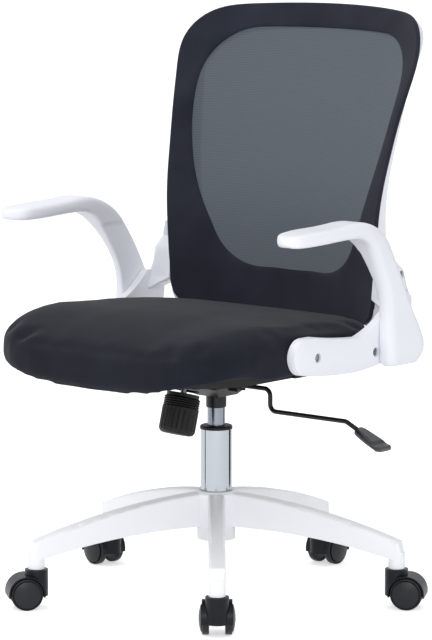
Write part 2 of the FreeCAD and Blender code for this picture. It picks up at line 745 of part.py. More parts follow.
def tension_spring():
    """Compression spring: one wire wound round the knob's axis, a quarter turn at a time."""
    low = SPRING_S + 0.5 * SPRING_WIRE + GAP
    rise = SPRING_L - SPRING_WIRE - 2 * GAP
    quarters = 4 * SPRING_TURNS

    def point(q):
        a = 0.5 * math.pi * q
        return V(SPRING_R * math.cos(a), SPRING_R * math.sin(a), low + rise * q / quarters)

    def tangent(q):
        a = 0.5 * math.pi * q
        t = V(-SPRING_R * math.sin(a), SPRING_R * math.cos(a), rise / quarters / (0.5 * math.pi))
        return t.normalize()

    edges = []
    for q in range(quarters):
        edges += biarc(point(q), tangent(q), point(q + 1), tangent(q + 1))
    path = Part.Wire(edges)
    circle = Part.makeCircle(0.5 * SPRING_WIRE, point(0), tangent(0))
    faces = [Part.Face(Part.Wire(circle))]
    for arc in edges:
        turn = math.degrees(arc.LastParameter - arc.FirstParameter)
        faces.append(circle.revolve(arc.Curve.Center, arc.Curve.Axis, turn))
        circle = circle.copy()
        circle.rotate(arc.Curve.Center, arc.Curve.Axis, turn)
    faces.append(Part.Face(Part.Wire(circle)))
    shell = Part.makeShell(faces)
    shell.sewShape()
    spring = Part.makeSolid(shell)
    if spring.Volume < 0:
        spring.reverse()
    per_turn = 40
    points = path.discretize(Number=per_turn * SPRING_TURNS + 1)
    apart = per_turn // 2
    gap = min(
        a.distanceToPoint(b) for i, a in enumerate(points) for b in points[i + apart:]
    ) - SPRING_WIRE
    expected = math.pi * (0.5 * SPRING_WIRE) ** 2 * path.Length
    print(f"tension_spring: least gap {gap:.2f} mm, volume {spring.Volume / expected:.4f} of section by length")
    return lean_to_knob(spring)


# Height lever


def bent_path(points, radius):
    """Straight runs joined by tangent arcs."""
    edges = []
    here = points[0]
    for before, corner, after in zip(points, points[1:], points[2:]):
        back = (before - corner).normalize()
        ahead = (after - corner).normalize()
        half_turn = 0.5 * (math.pi - back.getAngle(ahead))
        cut = radius * math.tan(half_turn)
        start = corner + back * cut
        end = corner + ahead * cut
        bisector = (back + ahead).normalize()
        via = corner + bisector * (radius / math.cos(half_turn) - radius)
        edges.append(Part.LineSegment(here, start).toShape())
        edges.append(Part.Arc(start, via, end).toShape())
        here = end
    edges.append(Part.LineSegment(here, points[-1]).toShape())
    return Part.Wire(edges)


def lever_end():
    """Lever's outer end and the way it points there."""
    low = LEVER_Z - LEVER_STEP
    bend = V(LEVER_RUN_X, 0, low)
    end = V(LEVER_END_X, 0, low - LEVER_END_DROP)
    return end, (end - bend).normalize()


def lever_rod():
    low = LEVER_Z - LEVER_STEP
    end, _ = lever_end()
    path = bent_path([
        V(LEVER_INNER, 0, LEVER_Z), V(LEVER_STEP_X, 0, LEVER_Z), V(LEVER_STEP_X, 0, low),
        V(LEVER_RUN_X, 0, low), end,
    ], LEVER_BEND_R)
    section = Part.Wire(Part.makeCircle(LEVER_R, V(LEVER_INNER, 0, LEVER_Z), X_AXIS))
    return path.makePipeShell([section], True, False)


def rounded_section(centre, across, up, half_w, half_h, r):
    """Closed wire: rectangle with round corners, in the plane of two directions."""
    k = 1 - math.sqrt(0.5)
    w = half_w
    h = half_h

    def at(a, b):
        return centre + across * a + up * b

    return closed_wire(
        at(r - w, -h), at(w - r, -h), (at(w - k * r, k * r - h), at(w, r - h)), at(w, h - r),
        (at(w - k * r, h - k * r), at(w - r, h)), at(r - w, h), (at(k * r - w, h - k * r), at(-w, h - r)),
        at(-w, r - h), (at(k * r - w, k * r - h), at(r - w, -h)),
    )


def lever_paddle():
    end, ahead = lever_end()
    up = ahead.cross(Y_AXIS) * -1
    start = end - ahead * PADDLE_SOCKET
    half_t = 0.5 * PADDLE_T
    sections = []
    stations = (
        (0.0, PADDLE_ROOT_W - 6, PADDLE_T + 1.0, 0.0), (0.1, PADDLE_ROOT_W, PADDLE_T + 2.0, 0.0),
        (0.45, 0.5 * (PADDLE_ROOT_W + PADDLE_TIP_W), PADDLE_T + 1.0, 0.0),
        (0.9, PADDLE_TIP_W, PADDLE_T - 2.0, -0.5), (1.0, PADDLE_TIP_W - 10, PADDLE_T - 5.0, -1.0),
    )
    for t, width, thick, rise in stations:
        centre = start + ahead * (t * PADDLE_L) + up * rise
        sections.append(rounded_section(centre, Y_AXIS, up, 0.5 * width, 0.5 * thick, 0.45 * thick))
    paddle = Part.makeLoft(sections, True, True)
    scoop = start + ahead * (0.78 * PADDLE_L) - up * (half_t + 9)
    paddle = paddle.cut(rod(12.0, scoop - V(0, FAR, 0), scoop + V(0, FAR, 0)))
    return paddle.cut(rod(LEVER_R + RUN, start - ahead, end + ahead * GAP))


def lever_bush():
    half_w = 0.5 * BUSH_BLOCK_W
    low = V(LEVER_PIVOT_X - 0.5 * BUSH_BLOCK_L, -half_w, LEVER_Z - 0.5 * BUSH_BLOCK_H)
    high = V(LEVER_PIVOT_X + 0.5 * BUSH_BLOCK_L, half_w, LEVER_Z + 0.5 * BUSH_BLOCK_H)
    reach = V(0, half_w + GAP + FORK_T, 0)
    pivot = V(LEVER_PIVOT_X, 0, LEVER_Z)
    bush = block(low, high).fuse(rod(TRUNNION_R, pivot - reach, pivot + reach))
    return bush.cut(rod(LEVER_R + RUN, V(0, 0, LEVER_Z), V(2 * LEVER_PIVOT_X, 0, LEVER_Z)))


# Seat


def seat_board(grow=0.0, drop=0.0):
    """Moulded board with a low wall each side for the brackets' bolts. Growing it makes the cushion's recess."""
    half = SEAT_HALF_W - BOARD_INSET + grow
    inset = BOARD_INSET + 2 - grow
    outline = rounded_plan(
        half, SEAT_FRONT + inset, SEAT_REAR - inset, SEAT_FRONT_R - inset, SEAT_REAR_R - inset, BOARD_Z - drop
    )
    board = prism(outline, V(0, 0, BOARD_T + grow + drop))
    outer = SEAT_HALF_W - BOARD_INSET + 7
    wall = block(
        V(outer - UPSTAND_T - grow, UPSTAND_FRONT - grow, BOARD_Z - drop),
        V(outer + grow, UPSTAND_REAR + grow, BOARD_Z + BOARD_T + UPSTAND_H + grow),
    )
    board = board.multiFuse([wall, mirrored(wall)])
    if grow:
        return board
    holes = [
        rod(SEAT_BOLT_R + RUN, V(x, y, BOARD_Z - 1), V(x, y, PLATE_Z + SEAT_BOLT_L + GAP))
        for x, y in seat_bolt_places()
    ]
    for y, z in SIDE_BOLTS:
        for sign in (-1, 1):
            start = V(sign * (outer - UPSTAND_T - 1), y, BOARD_Z + z)
            holes.append(rod(SIDE_BOLT_R + RUN, start, V(sign * FAR, y, BOARD_Z + z)))
    return board.cut(Part.makeCompound(holes))


def seat_section(x, y_front, y_rear, shrink=0.0):
    """Side profile of the cushion at one X: flat below, a hanging front edge, a crown and a round rear."""
    t = (x / SEAT_HALF_W) ** 2
    low = BOARD_Z + SEAT_LOW + shrink
    apron = BOARD_Z - SEAT_APRON + (SEAT_APRON + SEAT_CORNER_LIFT) * t + shrink
    crown = BOARD_Z + SEAT_CROWN - SEAT_SIDE_DROP * t - 1.4 * shrink
    front_fold = BOARD_Z + SEAT_FRONT_FOLD - shrink
    rear_fold = BOARD_Z + SEAT_REAR_FOLD - 1.4 * shrink
    span = y_rear - y_front
    lip = front_fold - apron
    fold_y = y_front + SEAT_LIP_FOLD * lip
    crown_y = y_front + span * (SEAT_CROWN_Y - SEAT_FRONT) / (SEAT_REAR - SEAT_FRONT)
    apron_y = y_front + span * (SEAT_APRON_Y - SEAT_FRONT) / (SEAT_REAR - SEAT_FRONT)
    shoulder = 0.5 * (fold_y + crown_y)
    return closed_wire(
        side(y_rear - SEAT_TUCK, low, x), side(apron_y, low, x), side(y_front + SEAT_LIP_TUCK * lip, apron, x),
        (side(y_front, 0.5 * (apron + front_fold) - 2, x), side(fold_y, front_fold, x)),
        (side(shoulder, front_fold + 0.8 * (crown - front_fold), x), side(crown_y, crown, x)),
        (side(0.5 * (crown_y + y_rear), crown - 0.25 * (crown - rear_fold), x), side(y_rear - 6, rear_fold, x)),
        (side(y_rear, 0.5 * (low + rear_fold) + 6, x), side(y_rear - SEAT_TUCK, low, x)),
    )


def seat_cushion():
    """Foam cushion lofted across the seat, with a recess for the board and holes for the side bolts."""
    stations = [(SEAT_HALF_W, SEAT_FRONT + SEAT_FRONT_R + 16, SEAT_REAR - SEAT_REAR_R - 10, 9.0)]
    for degrees in (82, 72, 60, 48, 36, 24, 12, 0):
        a = math.radians(degrees)
        x = SEAT_HALF_W - SEAT_FRONT_R * (1 - math.sin(a))
        y_front = SEAT_FRONT + SEAT_FRONT_R * (1 - math.cos(a))
        over = max(0.0, x - SEAT_HALF_W + SEAT_REAR_R)
        y_rear = SEAT_REAR - SEAT_REAR_R + math.sqrt(SEAT_REAR_R ** 2 - over ** 2)
        stations.append((x, y_front, y_rear, 4.0 * math.sin(a) ** 8))
    stations.append((0.5 * (SEAT_HALF_W - SEAT_FRONT_R), SEAT_FRONT, SEAT_REAR, 0.0))
    right = [seat_section(*s) for s in stations]
    middle = [seat_section(0.0, SEAT_FRONT, SEAT_REAR)]
    left = [seat_section(-x, yf, yr, s) for x, yf, yr, s in reversed(stations)]
    cushion = Part.makeLoft(right + middle + left, True, True)
    cushion = cushion.cut(seat_board(GAP, FAR / 2))
    holes = []
    for y, z in SIDE_BOLTS:
        at = V(0, y, BOARD_Z + z)
        holes.append(rod(SIDE_BOLT_R + FIT, at - V(FAR, 0, 0), at - V(SEAT_HALF_W - BOARD_INSET, 0, 0)))
        holes.append(rod(SIDE_BOLT_R + FIT, at + V(SEAT_HALF_W - BOARD_INSET, 0, 0), at + V(FAR, 0, 0)))
    return cushion.cut(Part.makeCompound(holes))


# Back


def back_slab(start, depth=None):
    """Upright slab that is bowed round the sitter and leans back, as deep as given or as the frame is at each height."""
    spread = math.radians(40)
    sections = []
    for height, y, frame_depth in BACK_LINE:
        end = start + (frame_depth if depth is None else depth)
        z = BOARD_Z + height

        def at(out, angle):
            r = BACK_CURVE_R + out
            return V(r * math.sin(angle), y - BACK_CURVE_R + r * math.cos(angle), z)

        sections.append(closed_wire(
            at(start, -spread), (at(start, 0), at(start, spread)), at(end, spread), (at(end, 0), at(end, -spread)),
        ))
    return Part.makeLoft(sections, True, False)


def back_outline(inset, bar=0.0):
    """Front view of the back, drawn in all round by inset and raised by bar at the bottom."""
    low = BOARD_Z + BACK_LOW + bar
    top = BOARD_Z + BACK_LOW + BACK_H - inset
    k = math.sqrt(0.5)
    foot_z = low + BACK_FOOT_R
    mid_z = 0.5 * (foot_z + top)
    corner_z = top - BACK_CORNER_R - 6
    x_low = BACK_HALF_LOW - inset
    x_mid = BACK_HALF_MID - inset
    x_top = BACK_HALF_TOP - inset
    cx = x_top - BACK_CORNER_R
    fx = x_low - BACK_FOOT_R + 2

    def right():
        return [
            (front(x_mid, mid_z), front(x_top, corner_z)),
            (front(cx + k * BACK_CORNER_R, corner_z + k * BACK_CORNER_R), front(cx, top - 6)),
        ]

    half = right()
    steps = [
        front(fx, low), (front(fx + k * BACK_FOOT_R, foot_z - k * BACK_FOOT_R), front(x_low, foot_z)), *half,
        (front(0, top), front(-cx, top - 6)),
        (front(-cx - k * BACK_CORNER_R, corner_z + k * BACK_CORNER_R), front(-x_top, corner_z)),
        (front(-x_mid, mid_z), front(-x_low, foot_z)),
        (front(-fx - k * BACK_FOOT_R, foot_z - k * BACK_FOOT_R), front(-fx, low)),
    ]
    return prism(closed_wire(front(-fx, low), *steps), V(0, FAR, 0))


def mesh_window(grow):
    """Front view of the see-through window: nearly straight on top, narrowing to a broad round bottom."""
    low = BOARD_Z + WINDOW_LOW - grow
    top = BOARD_Z + WINDOW_TOP + grow
    half = WINDOW_HALF + grow
    shoulder = top - 78
    waist = low + 62
    right = [
        (front(half - 95, low + 13), front(half - 60, waist)),
        (front(half - 15, waist + 124), front(half, shoulder)),
        (front(half - 22, top - 25), front(half - 67, top - 2)),
    ]
    points = [front(45, low + 2)]
    for via, end in right:
        points += [via, end]
    flipped = [V(-q.x, q.y, q.z) for q in reversed(points)]
    left = [(flipped[i], flipped[i + 1]) for i in range(1, len(flipped) - 1, 2)]
    steps = [(front(0, low), points[0]), *right, (front(0, top), flipped[0]), *left]
    return prism(closed_wire(flipped[-1], *steps), V(0, FAR, 0))


def back_border():
    return back_slab(0, BORDER_T).common(back_outline(0)).cut(mesh_window(0))


def back_mesh():
    sheet = back_slab(MESH_SET, MESH_T)
    return sheet.common(mesh_window(-GAP))


def back_bolt_line(y, height, x_face, sign):
    """Ends of a bolt that runs through the bracket into the side of the back frame."""
    at = V(0, y, BOARD_Z + height)
    t = (height - BACK_LOW - BACK_FOOT_R) / (0.5 * (BACK_H - BACK_FOOT_R))
    x_side = BACK_HALF_LOW + (BACK_HALF_MID - BACK_HALF_LOW) * t
    return at + V(sign * (x_side - BACK_BOLT_DEPTH), 0, 0), at + V(sign * (x_face - COUNTERBORE), 0, 0)


def back_frame():
    ring = back_slab(BORDER_T + 2 * GAP)
    ring = ring.common(back_outline(0)).cut(back_outline(FRAME_W, FRAME_BAR))
    holes = []
    for y, height, x_face in BACK_BOLTS:
        for sign in (-1, 1):
            inner, outer = back_bolt_line(y, height, x_face, sign)
            holes.append(rod(BACK_BOLT_R + FIT, inner, outer))
    return ring.cut(Part.makeCompound(holes))


# Brackets that join the seat and the back, and carry the arms


def bracket_outline(inset, x):
    """Side view of the bracket's plate, drawn in all round by inset."""
    low = BOARD_Z + BRACKET_LOW + inset
    top = BOARD_Z + BRACKET_TOP - inset
    nose = BRACKET_FRONT + 27
    rear = BRACKET_REAR - inset

    def at(y, z):
        return side(y, z, x)

    return closed_wire(
        at(nose, low + 9), (at(-25, low + 1.5), at(25, low)), (at(80, low + 6), at(125, low + 16)),
        (at(150, low + 40), at(rear, top + 10)), at(rear, top + 40), at(118, top + 40),
        (at(66, top + 2), at(28, top - 12)), (at(-26, top - 7.5), at(nose + 22, top)), at(nose, top),
        (at(BRACKET_FRONT + inset, 0.5 * (low + top) + 4), at(nose, low + 9)),
    )


def bracket_left():
    shoulder = BRACKET_OUT - BRACKET_EDGE_R
    foot = prism(bracket_outline(0, BRACKET_IN), V(shoulder - BRACKET_IN, 0, 0))
    rings = [
        bracket_outline(0, shoulder), bracket_outline(0.25 * BRACKET_EDGE_R, BRACKET_OUT - 0.35 * BRACKET_EDGE_R),
        bracket_outline(BRACKET_EDGE_R, BRACKET_OUT),
    ]
    foot = foot.fuse(Part.makeLoft(rings, True, True))
    sections = []
    stations = (
        (72, BRACKET_IN, BRACKET_OUT, 118, BRACKET_REAR, 4), (94, 200, 256, 126, 170, 10),
        (116, 195, 250, 128, 169, 14), (140, 195, 247, 129, 165, 15), (160, 200, 232, 136, 150, 6),
        (UPRIGHT_TOP, 205, 218, 128, 138, 4),
    )
    for height, x0, x1, y0, y1, r in stations:
        centre = V(0.5 * (x0 + x1), 0.5 * (y0 + y1), BOARD_Z + height)
        sections.append(rounded_section(centre, X_AXIS, Y_AXIS, 0.5 * (x1 - x0), 0.5 * (y1 - y0), r))
    upright = Part.makeLoft(sections, True, True)
    bracket = foot.fuse(upright).cut(back_outline(-GAP))
    pin = V(BRACKET_OUT - ARM_PIN_DEPTH, ARM_PIVOT_Y, ARM_PIVOT_Z)
    holes = [rod(ARM_PIN_R + RUN, pin, pin + V(FAR, 0, 0))]
    for y, z in SIDE_BOLTS:
        at = V(0, y, BOARD_Z + z)
        holes.append(rod(SIDE_BOLT_R + FIT, at, at + V(FAR, 0, 0)))
        holes.append(rod(COUNTERBORE_R, at + V(BRACKET_OUT - COUNTERBORE, 0, 0), at + V(FAR, 0, 0)))
    for y, height, x_face in BACK_BOLTS:
        inner, outer = back_bolt_line(y, height, x_face, 1)
        holes.append(rod(BACK_BOLT_R + FIT, inner, outer + V(1, 0, 0)))
        holes.append(rod(COUNTERBORE_R - 1, outer, outer + V(FAR, 0, 0)))
    return bracket.cut(Part.makeCompound(holes))


def head_bolt(tip, shoulder, shank_r, head_r, head_h):
    """Round-headed bolt from its tip to the seat of its head."""
    ahead = (shoulder - tip).normalize()
    return rod(shank_r, tip, shoulder).fuse(rod(head_r, shoulder, shoulder + ahead * head_h))


def bracket_bolts():
    bolts = []
    tip = SEAT_HALF_W - BOARD_INSET + 7 - UPSTAND_T + GAP
    for y, z in SIDE_BOLTS:
        at = V(0, y, BOARD_Z + z)
        shoulder = at + V(BRACKET_OUT - COUNTERBORE, 0, 0)
        bolts.append(head_bolt(at + V(tip, 0, 0), shoulder, SIDE_BOLT_R, SIDE_HEAD_R, SIDE_HEAD_H))
    for y, height, x_face in BACK_BOLTS:
        inner, outer = back_bolt_line(y, height, x_face, 1)
        bolts.append(head_bolt(inner + V(GAP, 0, 0), outer, BACK_BOLT_R, BACK_HEAD_R, SIDE_HEAD_H))
    return Part.makeCompound(bolts + [mirrored(b) for b in bolts])


# Arms


def arm_pivot_left():
    start = V(BRACKET_OUT - ARM_PIN_DEPTH, ARM_PIVOT_Y, ARM_PIVOT_Z)
    return rod(ARM_PIN_R, start, V(ARM_IN + ARM_PIN_REACH - GAP, ARM_PIVOT_Y, ARM_PIVOT_Z))


def arm_section(y, z, degrees, half_depth, x_in, x_out, r_in, r_out):
    """Section of the arm with its own corner radius on the inner and on the outer side."""
    a = math.radians(degrees)
    across = V(0, math.cos(a), math.sin(a))
    k = 1 - math.sqrt(0.5)
    d = half_depth

    def at(x, depth):
        return V(x, y, z) + across * depth

    return closed_wire(
        at(x_in + r_in, -d), at(x_out - r_out, -d), (at(x_out - k * r_out, k * r_out - d), at(x_out, r_out - d)),
        at(x_out, d - r_out), (at(x_out - k * r_out, d - k * r_out), at(x_out - r_out, d)), at(x_in + r_in, d),
        (at(x_in + k * r_in, d - k * r_in), at(x_in, d - r_in)), at(x_in, r_in - d),
        (at(x_in + k * r_in, k * r_in - d), at(x_in + r_in, -d)),
    )


def arm_left():
    """Arm lofted from the pad's tip, round the bend and down the leg to the flared pivot end."""
    pad_z = BOARD_Z + ARM_PAD_TOP - 0.5 * ARM_PAD_T
    half_t = 0.5 * ARM_PAD_T
    x0 = ARM_PAD_INNER
    x1 = ARM_PAD_INNER + ARM_PAD_W
    flat = ARM_IN - 1
    leg = ARM_IN + ARM_LEG_W
    tip = ARM_TIP_Y
    drop = ARM_TIP_DROP
    stations = (
        (tip, pad_z - drop, 90, 0.4 * half_t, x0 + 28, x1 - 20, 2.0, 2.0),
        (tip + 5, pad_z - drop, 90, 0.7 * half_t, x0 + 17, x1 - 10, 5.0, 5.0),
        (tip + 16, pad_z - 0.9 * drop, 90, 0.86 * half_t, x0 + 5, x1 - 3, 7.0, 7.0),
        (tip + 34, pad_z - 0.7 * drop, 90, 0.95 * half_t, x0, x1, 8.0, 8.0),
        (-60, pad_z, 90, half_t, x0 + 1, x1, 9.0, 9.0), (-8, pad_z - 1, 80, half_t + 2, x0 + 3, x1 - 2, 9.0, 10.0),
        (39, pad_z - 24, 36, half_t + 9, ARM_IN - 4, x1 - 9, 6.0, 15.0), (70, pad_z - 60, 22, 24, flat, leg - 1, 4.0, 16.0),
        (94, pad_z - 100, 14, 26.5, flat, leg - 4, 4.0, 16.0), (108, pad_z - 137, 5, 34, flat, leg - 5, 4.0, 16.0),
        (117, pad_z - 170, 0, 43, flat, leg - 2, 4.0, 16.0), (119, pad_z - 196, 2, 44.5, flat, leg, 4.0, 14.0),
        (114, pad_z - 219, 0, 32, ARM_IN + 1, leg - 5, 4.0, 10.0),
    )
    sections = [arm_section(*s) for s in stations]
    arm = Part.makeLoft(sections, True, False)
    arm = arm.cut(block(V(0, -FAR, 0), V(ARM_IN, FAR, pad_z - 35)))
    pin = V(0, ARM_PIVOT_Y, ARM_PIVOT_Z)
    return arm.cut(rod(ARM_PIN_R + RUN, pin, pin + V(ARM_IN + ARM_PIN_REACH, 0, 0)))


def save(name, shape):
    solids = len(shape.Solids)
    print(f"{name}: {solids} solid(s), valid {shape.isValid()}, {shape.Volume / 1000:.1f} cm3")
    shape.exportStep(f"parts/{name}.step")


def main():
    os.makedirs("parts", exist_ok=True)
    single = (
        base_star, column_tube, guide_bush, thrust_bearing, piston_rod, retaining_clip, gas_cylinder, release_pin,
        taper_socket, tilt_housing, tilt_pivot_pin, seat_plate, seat_bolts, tension_bolt, tension_knob, spring_cup,
        tension_spring, lever_rod, lever_paddle, lever_bush, seat_board, seat_cushion, back_border, back_mesh,
        back_frame, bracket_bolts,
    )
    for build in single:
        save(build.__name__, build())
    for build in (bracket_left, arm_pivot_left, arm_left):
        shape = build()
        save(build.__name__, shape)
        save(build.__name__.replace("left", "right"), mirrored(shape))
    caster = {
        "hood": caster_hood(), "stem": caster_stem(), "axle": caster_axle(),
        "wheel_a": caster_wheel(1), "wheel_b": caster_wheel(-1),
    }
    for k in range(LEGS):
        for name, shape in caster.items():
            save(f"caster_{k + 1}_{name}", place_caster(shape, k))


main()
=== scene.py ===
"""Mesh-back office chair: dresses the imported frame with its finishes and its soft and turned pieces.

Sizes are in millimetres in the classes and in metres in the meshes. +Z is up, the origin is on the
floor under the gas lift, and the sitter faces -Y.
"""

from __future__ import annotations

import json
import logging
import math
from dataclasses import dataclass
from enum import Enum

import bpy
import numpy as np
from bpy.types import ID, Material, Mesh, Node, NodeSocket, NodeTree, Object
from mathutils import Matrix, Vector

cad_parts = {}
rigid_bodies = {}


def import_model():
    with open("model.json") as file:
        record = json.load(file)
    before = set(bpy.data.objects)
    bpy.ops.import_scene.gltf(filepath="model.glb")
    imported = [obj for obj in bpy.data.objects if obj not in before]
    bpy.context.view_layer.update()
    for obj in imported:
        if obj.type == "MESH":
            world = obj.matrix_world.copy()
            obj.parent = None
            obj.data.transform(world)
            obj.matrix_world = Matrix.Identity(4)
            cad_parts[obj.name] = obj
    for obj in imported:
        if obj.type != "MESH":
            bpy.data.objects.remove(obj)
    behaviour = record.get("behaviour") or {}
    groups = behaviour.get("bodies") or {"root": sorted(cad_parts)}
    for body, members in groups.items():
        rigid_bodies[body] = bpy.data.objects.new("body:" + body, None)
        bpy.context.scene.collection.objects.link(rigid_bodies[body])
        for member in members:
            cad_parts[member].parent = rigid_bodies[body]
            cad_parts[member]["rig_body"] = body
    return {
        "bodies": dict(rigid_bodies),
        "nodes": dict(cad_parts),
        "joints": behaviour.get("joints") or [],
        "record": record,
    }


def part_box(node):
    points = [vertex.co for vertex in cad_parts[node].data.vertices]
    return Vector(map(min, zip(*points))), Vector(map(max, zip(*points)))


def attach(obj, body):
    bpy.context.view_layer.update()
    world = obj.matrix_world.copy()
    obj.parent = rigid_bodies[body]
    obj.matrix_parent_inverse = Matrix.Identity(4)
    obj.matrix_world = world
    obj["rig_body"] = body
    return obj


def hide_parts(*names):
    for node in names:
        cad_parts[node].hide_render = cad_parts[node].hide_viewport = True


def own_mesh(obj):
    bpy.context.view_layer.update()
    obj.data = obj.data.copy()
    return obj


LOG = logging.getLogger("chair")
MM = 0.001
TURN = 2.0 * math.pi
Array = np.ndarray


class Relief(Enum):
    """How a moulded or coated surface was made."""

    FINE = "fine spark grain"
    LEATHERY = "coarse moulded grain"
    COATED = "powder coat"


def linear(hex_colour: str) -> tuple[float, float, float, float]:
    """Turns an sRGB hex value to a linear colour.

    Args:
        hex_colour: colour such as "#f0f2f4".

    Returns:
        Linear red, green, blue and an alpha of 1.
    """
    parts = [int(hex_colour[i:i + 2], 16) / 255.0 for i in (1, 3, 5)]
    red, green, blue = (c / 12.92 if c <= 0.04045 else ((c + 0.055) / 1.055) ** 2.4 for c in parts)
    return (red, green, blue, 1.0)


def feed(tree: NodeTree, node: Node, sockets: dict) -> None:
    """Sets or links inputs of a node.

    Args:
        tree: the node's tree.
        node: the node.
        sockets: value or source socket for each input, by name or place.
    """
    for name, value in sockets.items():
        if isinstance(value, NodeSocket):
            tree.links.new(value, node.inputs[name])
        else:
            node.inputs[name].default_value = value


def add_node(tree: NodeTree, kind: str, sockets: dict | None = None, **settings: object) -> Node:
    """Adds a node with its settings, socket values and links.

    Args:
        tree: node tree that gets the node.
        kind: class of the node, without its ShaderNode prefix.
        sockets: value or source socket for each input, by name or place.
        settings: properties of the node.

    Returns:
        The node.
    """
    node = tree.nodes.new("ShaderNode" + kind)
    for name, value in settings.items():
        setattr(node, name, value)
    feed(tree, node, sockets or {})
    return node


def noise(tree: NodeTree, place: NodeSocket, size_mm: float, detail: float) -> NodeSocket:
    """Adds noise of a real size.

    Args:
        tree: node tree that gets the node.
        place: coordinates, in metres.
        size_mm: size of its coarsest cells.
        detail: count of finer layers.

    Returns:
        Its value.
    """
    return add_node(tree, "TexNoise", {"Vector": place, "Scale": 1.0 / (size_mm * MM), "Detail": detail}).outputs["Fac"]


def span(tree: NodeTree, value: NodeSocket, start: tuple, end: tuple) -> NodeSocket:
    """Carries a value from one range to another, held at its ends.

    Args:
        tree: node tree that gets the node.
        value: the value.
        start: its range.
        end: the range that it is carried to.

    Returns:
        The carried value.
    """
    ranges = {"From Min": start[0], "From Max": start[1], "To Min": end[0], "To Max": end[1]}
    return add_node(tree, "MapRange", {"Value": value, **ranges}).outputs["Result"]


@dataclass(frozen=True)
class Finish:
    """A surface: its colour and how it reflects."""

    name: str
    colour: str
    roughness: float
    metallic: float = 0.0
    ior: float = 1.5
    specular: float = 0.5

    def material(self) -> Material:
        """Makes the material the first time it is asked for.

        Returns:
            The material.
        """
        found = bpy.data.materials.get(self.name)
        if found is not None:
            return found
        made = bpy.data.materials.new(self.name)
        made.use_nodes = True
        shader = made.node_tree.nodes["Principled BSDF"]
        feed(made.node_tree, shader, {"Base Color": linear(self.colour), "Roughness": self.roughness, "IOR": self.ior,
                                      "Metallic": self.metallic, "Specular IOR Level": self.specular})
        self.dress(made.node_tree, shader)
        return made

    def dress(self, tree: NodeTree, shader: Node) -> None:
        """Adds the finish's own pattern. A plain finish has none."""


@dataclass(frozen=True)
class MouldedFinish(Finish):
    """Injection-moulded or coated surface: fine grain, softened edges and slight clouding of tone and gloss."""

    relief: Relief = Relief.FINE
    grain_mm: float = 0.9
    depth_mm: float = 0.03
    edge_mm: float = 0.8
    cloud_mm: float = 60.0
    clouding: float = 0.05
    shade: str = "#000000"
    coat: float = 0.0

    def dress(self, tree: NodeTree, shader: Node) -> None:
        """Lays grain into the normal and clouds the colour and the gloss, from noise of two real sizes.

        Args:
            tree: the material's node tree.
            shader: its surface shader.
        """
        place = add_node(tree, "TexCoord").outputs["Object"]
        detail = {Relief.FINE: 2.0, Relief.LEATHERY: 5.0, Relief.COATED: 3.0}[self.relief]
        grain = noise(tree, place, self.grain_mm, detail)
        cloud = noise(tree, place, self.cloud_mm, 3.0)
        tone = span(tree, cloud, (0.3, 0.7), (0.0, self.clouding))
        colour = add_node(tree, "Mix", {"Factor": tone, 6: linear(self.colour), 7: linear(self.shade)},
                          data_type="RGBA")
        gloss = span(tree, grain, (0.3, 0.7), (self.roughness - 0.05, self.roughness + 0.07))
        edge = add_node(tree, "Bevel", {"Radius": self.edge_mm * MM}, samples=4)
        bump = add_node(tree, "Bump", {"Height": grain, "Normal": edge.outputs["Normal"],
                                       "Distance": self.depth_mm * MM, "Strength": 0.6})
        feed(tree, shader, {"Base Color": colour.outputs[2], "Roughness": gloss,
                            "Normal": bump.outputs["Normal"], "Coat Weight": self.coat})


@dataclass(frozen=True)
class MetalFinish(Finish):
    """Drawn, ground or plated metal: fine lines along one direction that stretch its highlights."""

    line_mm: float = 0.5
    stretch: float = 40.0
    depth_mm: float = 0.004
    edge_mm: float = 0.4
    smear_mm: float = 35.0
    spread: float = 0.04

    def dress(self, tree: NodeTree, shader: Node) -> None:
        """Draws lines along Z by squeezing noise, into the gloss and a little into the normal.

        Args:
            tree: the material's node tree.
            shader: its surface shader.
        """
        place = add_node(tree, "TexCoord").outputs["Object"]
        drawn = add_node(tree, "Mapping", {"Vector": place, "Scale": (1.0, 1.0, 1.0 / self.stretch)})
        line = noise(tree, drawn.outputs["Vector"], self.line_mm, 3.0)
        smear = noise(tree, place, self.smear_mm, 4.0)
        both = add_node(tree, "Math", {0: line, 1: smear}, operation="MULTIPLY")
        gloss = span(tree, both.outputs["Value"], (0.1, 0.45), (self.roughness, self.roughness + self.spread))
        edge = add_node(tree, "Bevel", {"Radius": self.edge_mm * MM}, samples=4)
        bump = add_node(tree, "Bump", {"Height": line, "Normal": edge.outputs["Normal"],
                                       "Distance": self.depth_mm * MM, "Strength": 0.4})
        feed(tree, shader, {"Roughness": gloss, "Normal": bump.outputs["Normal"]})


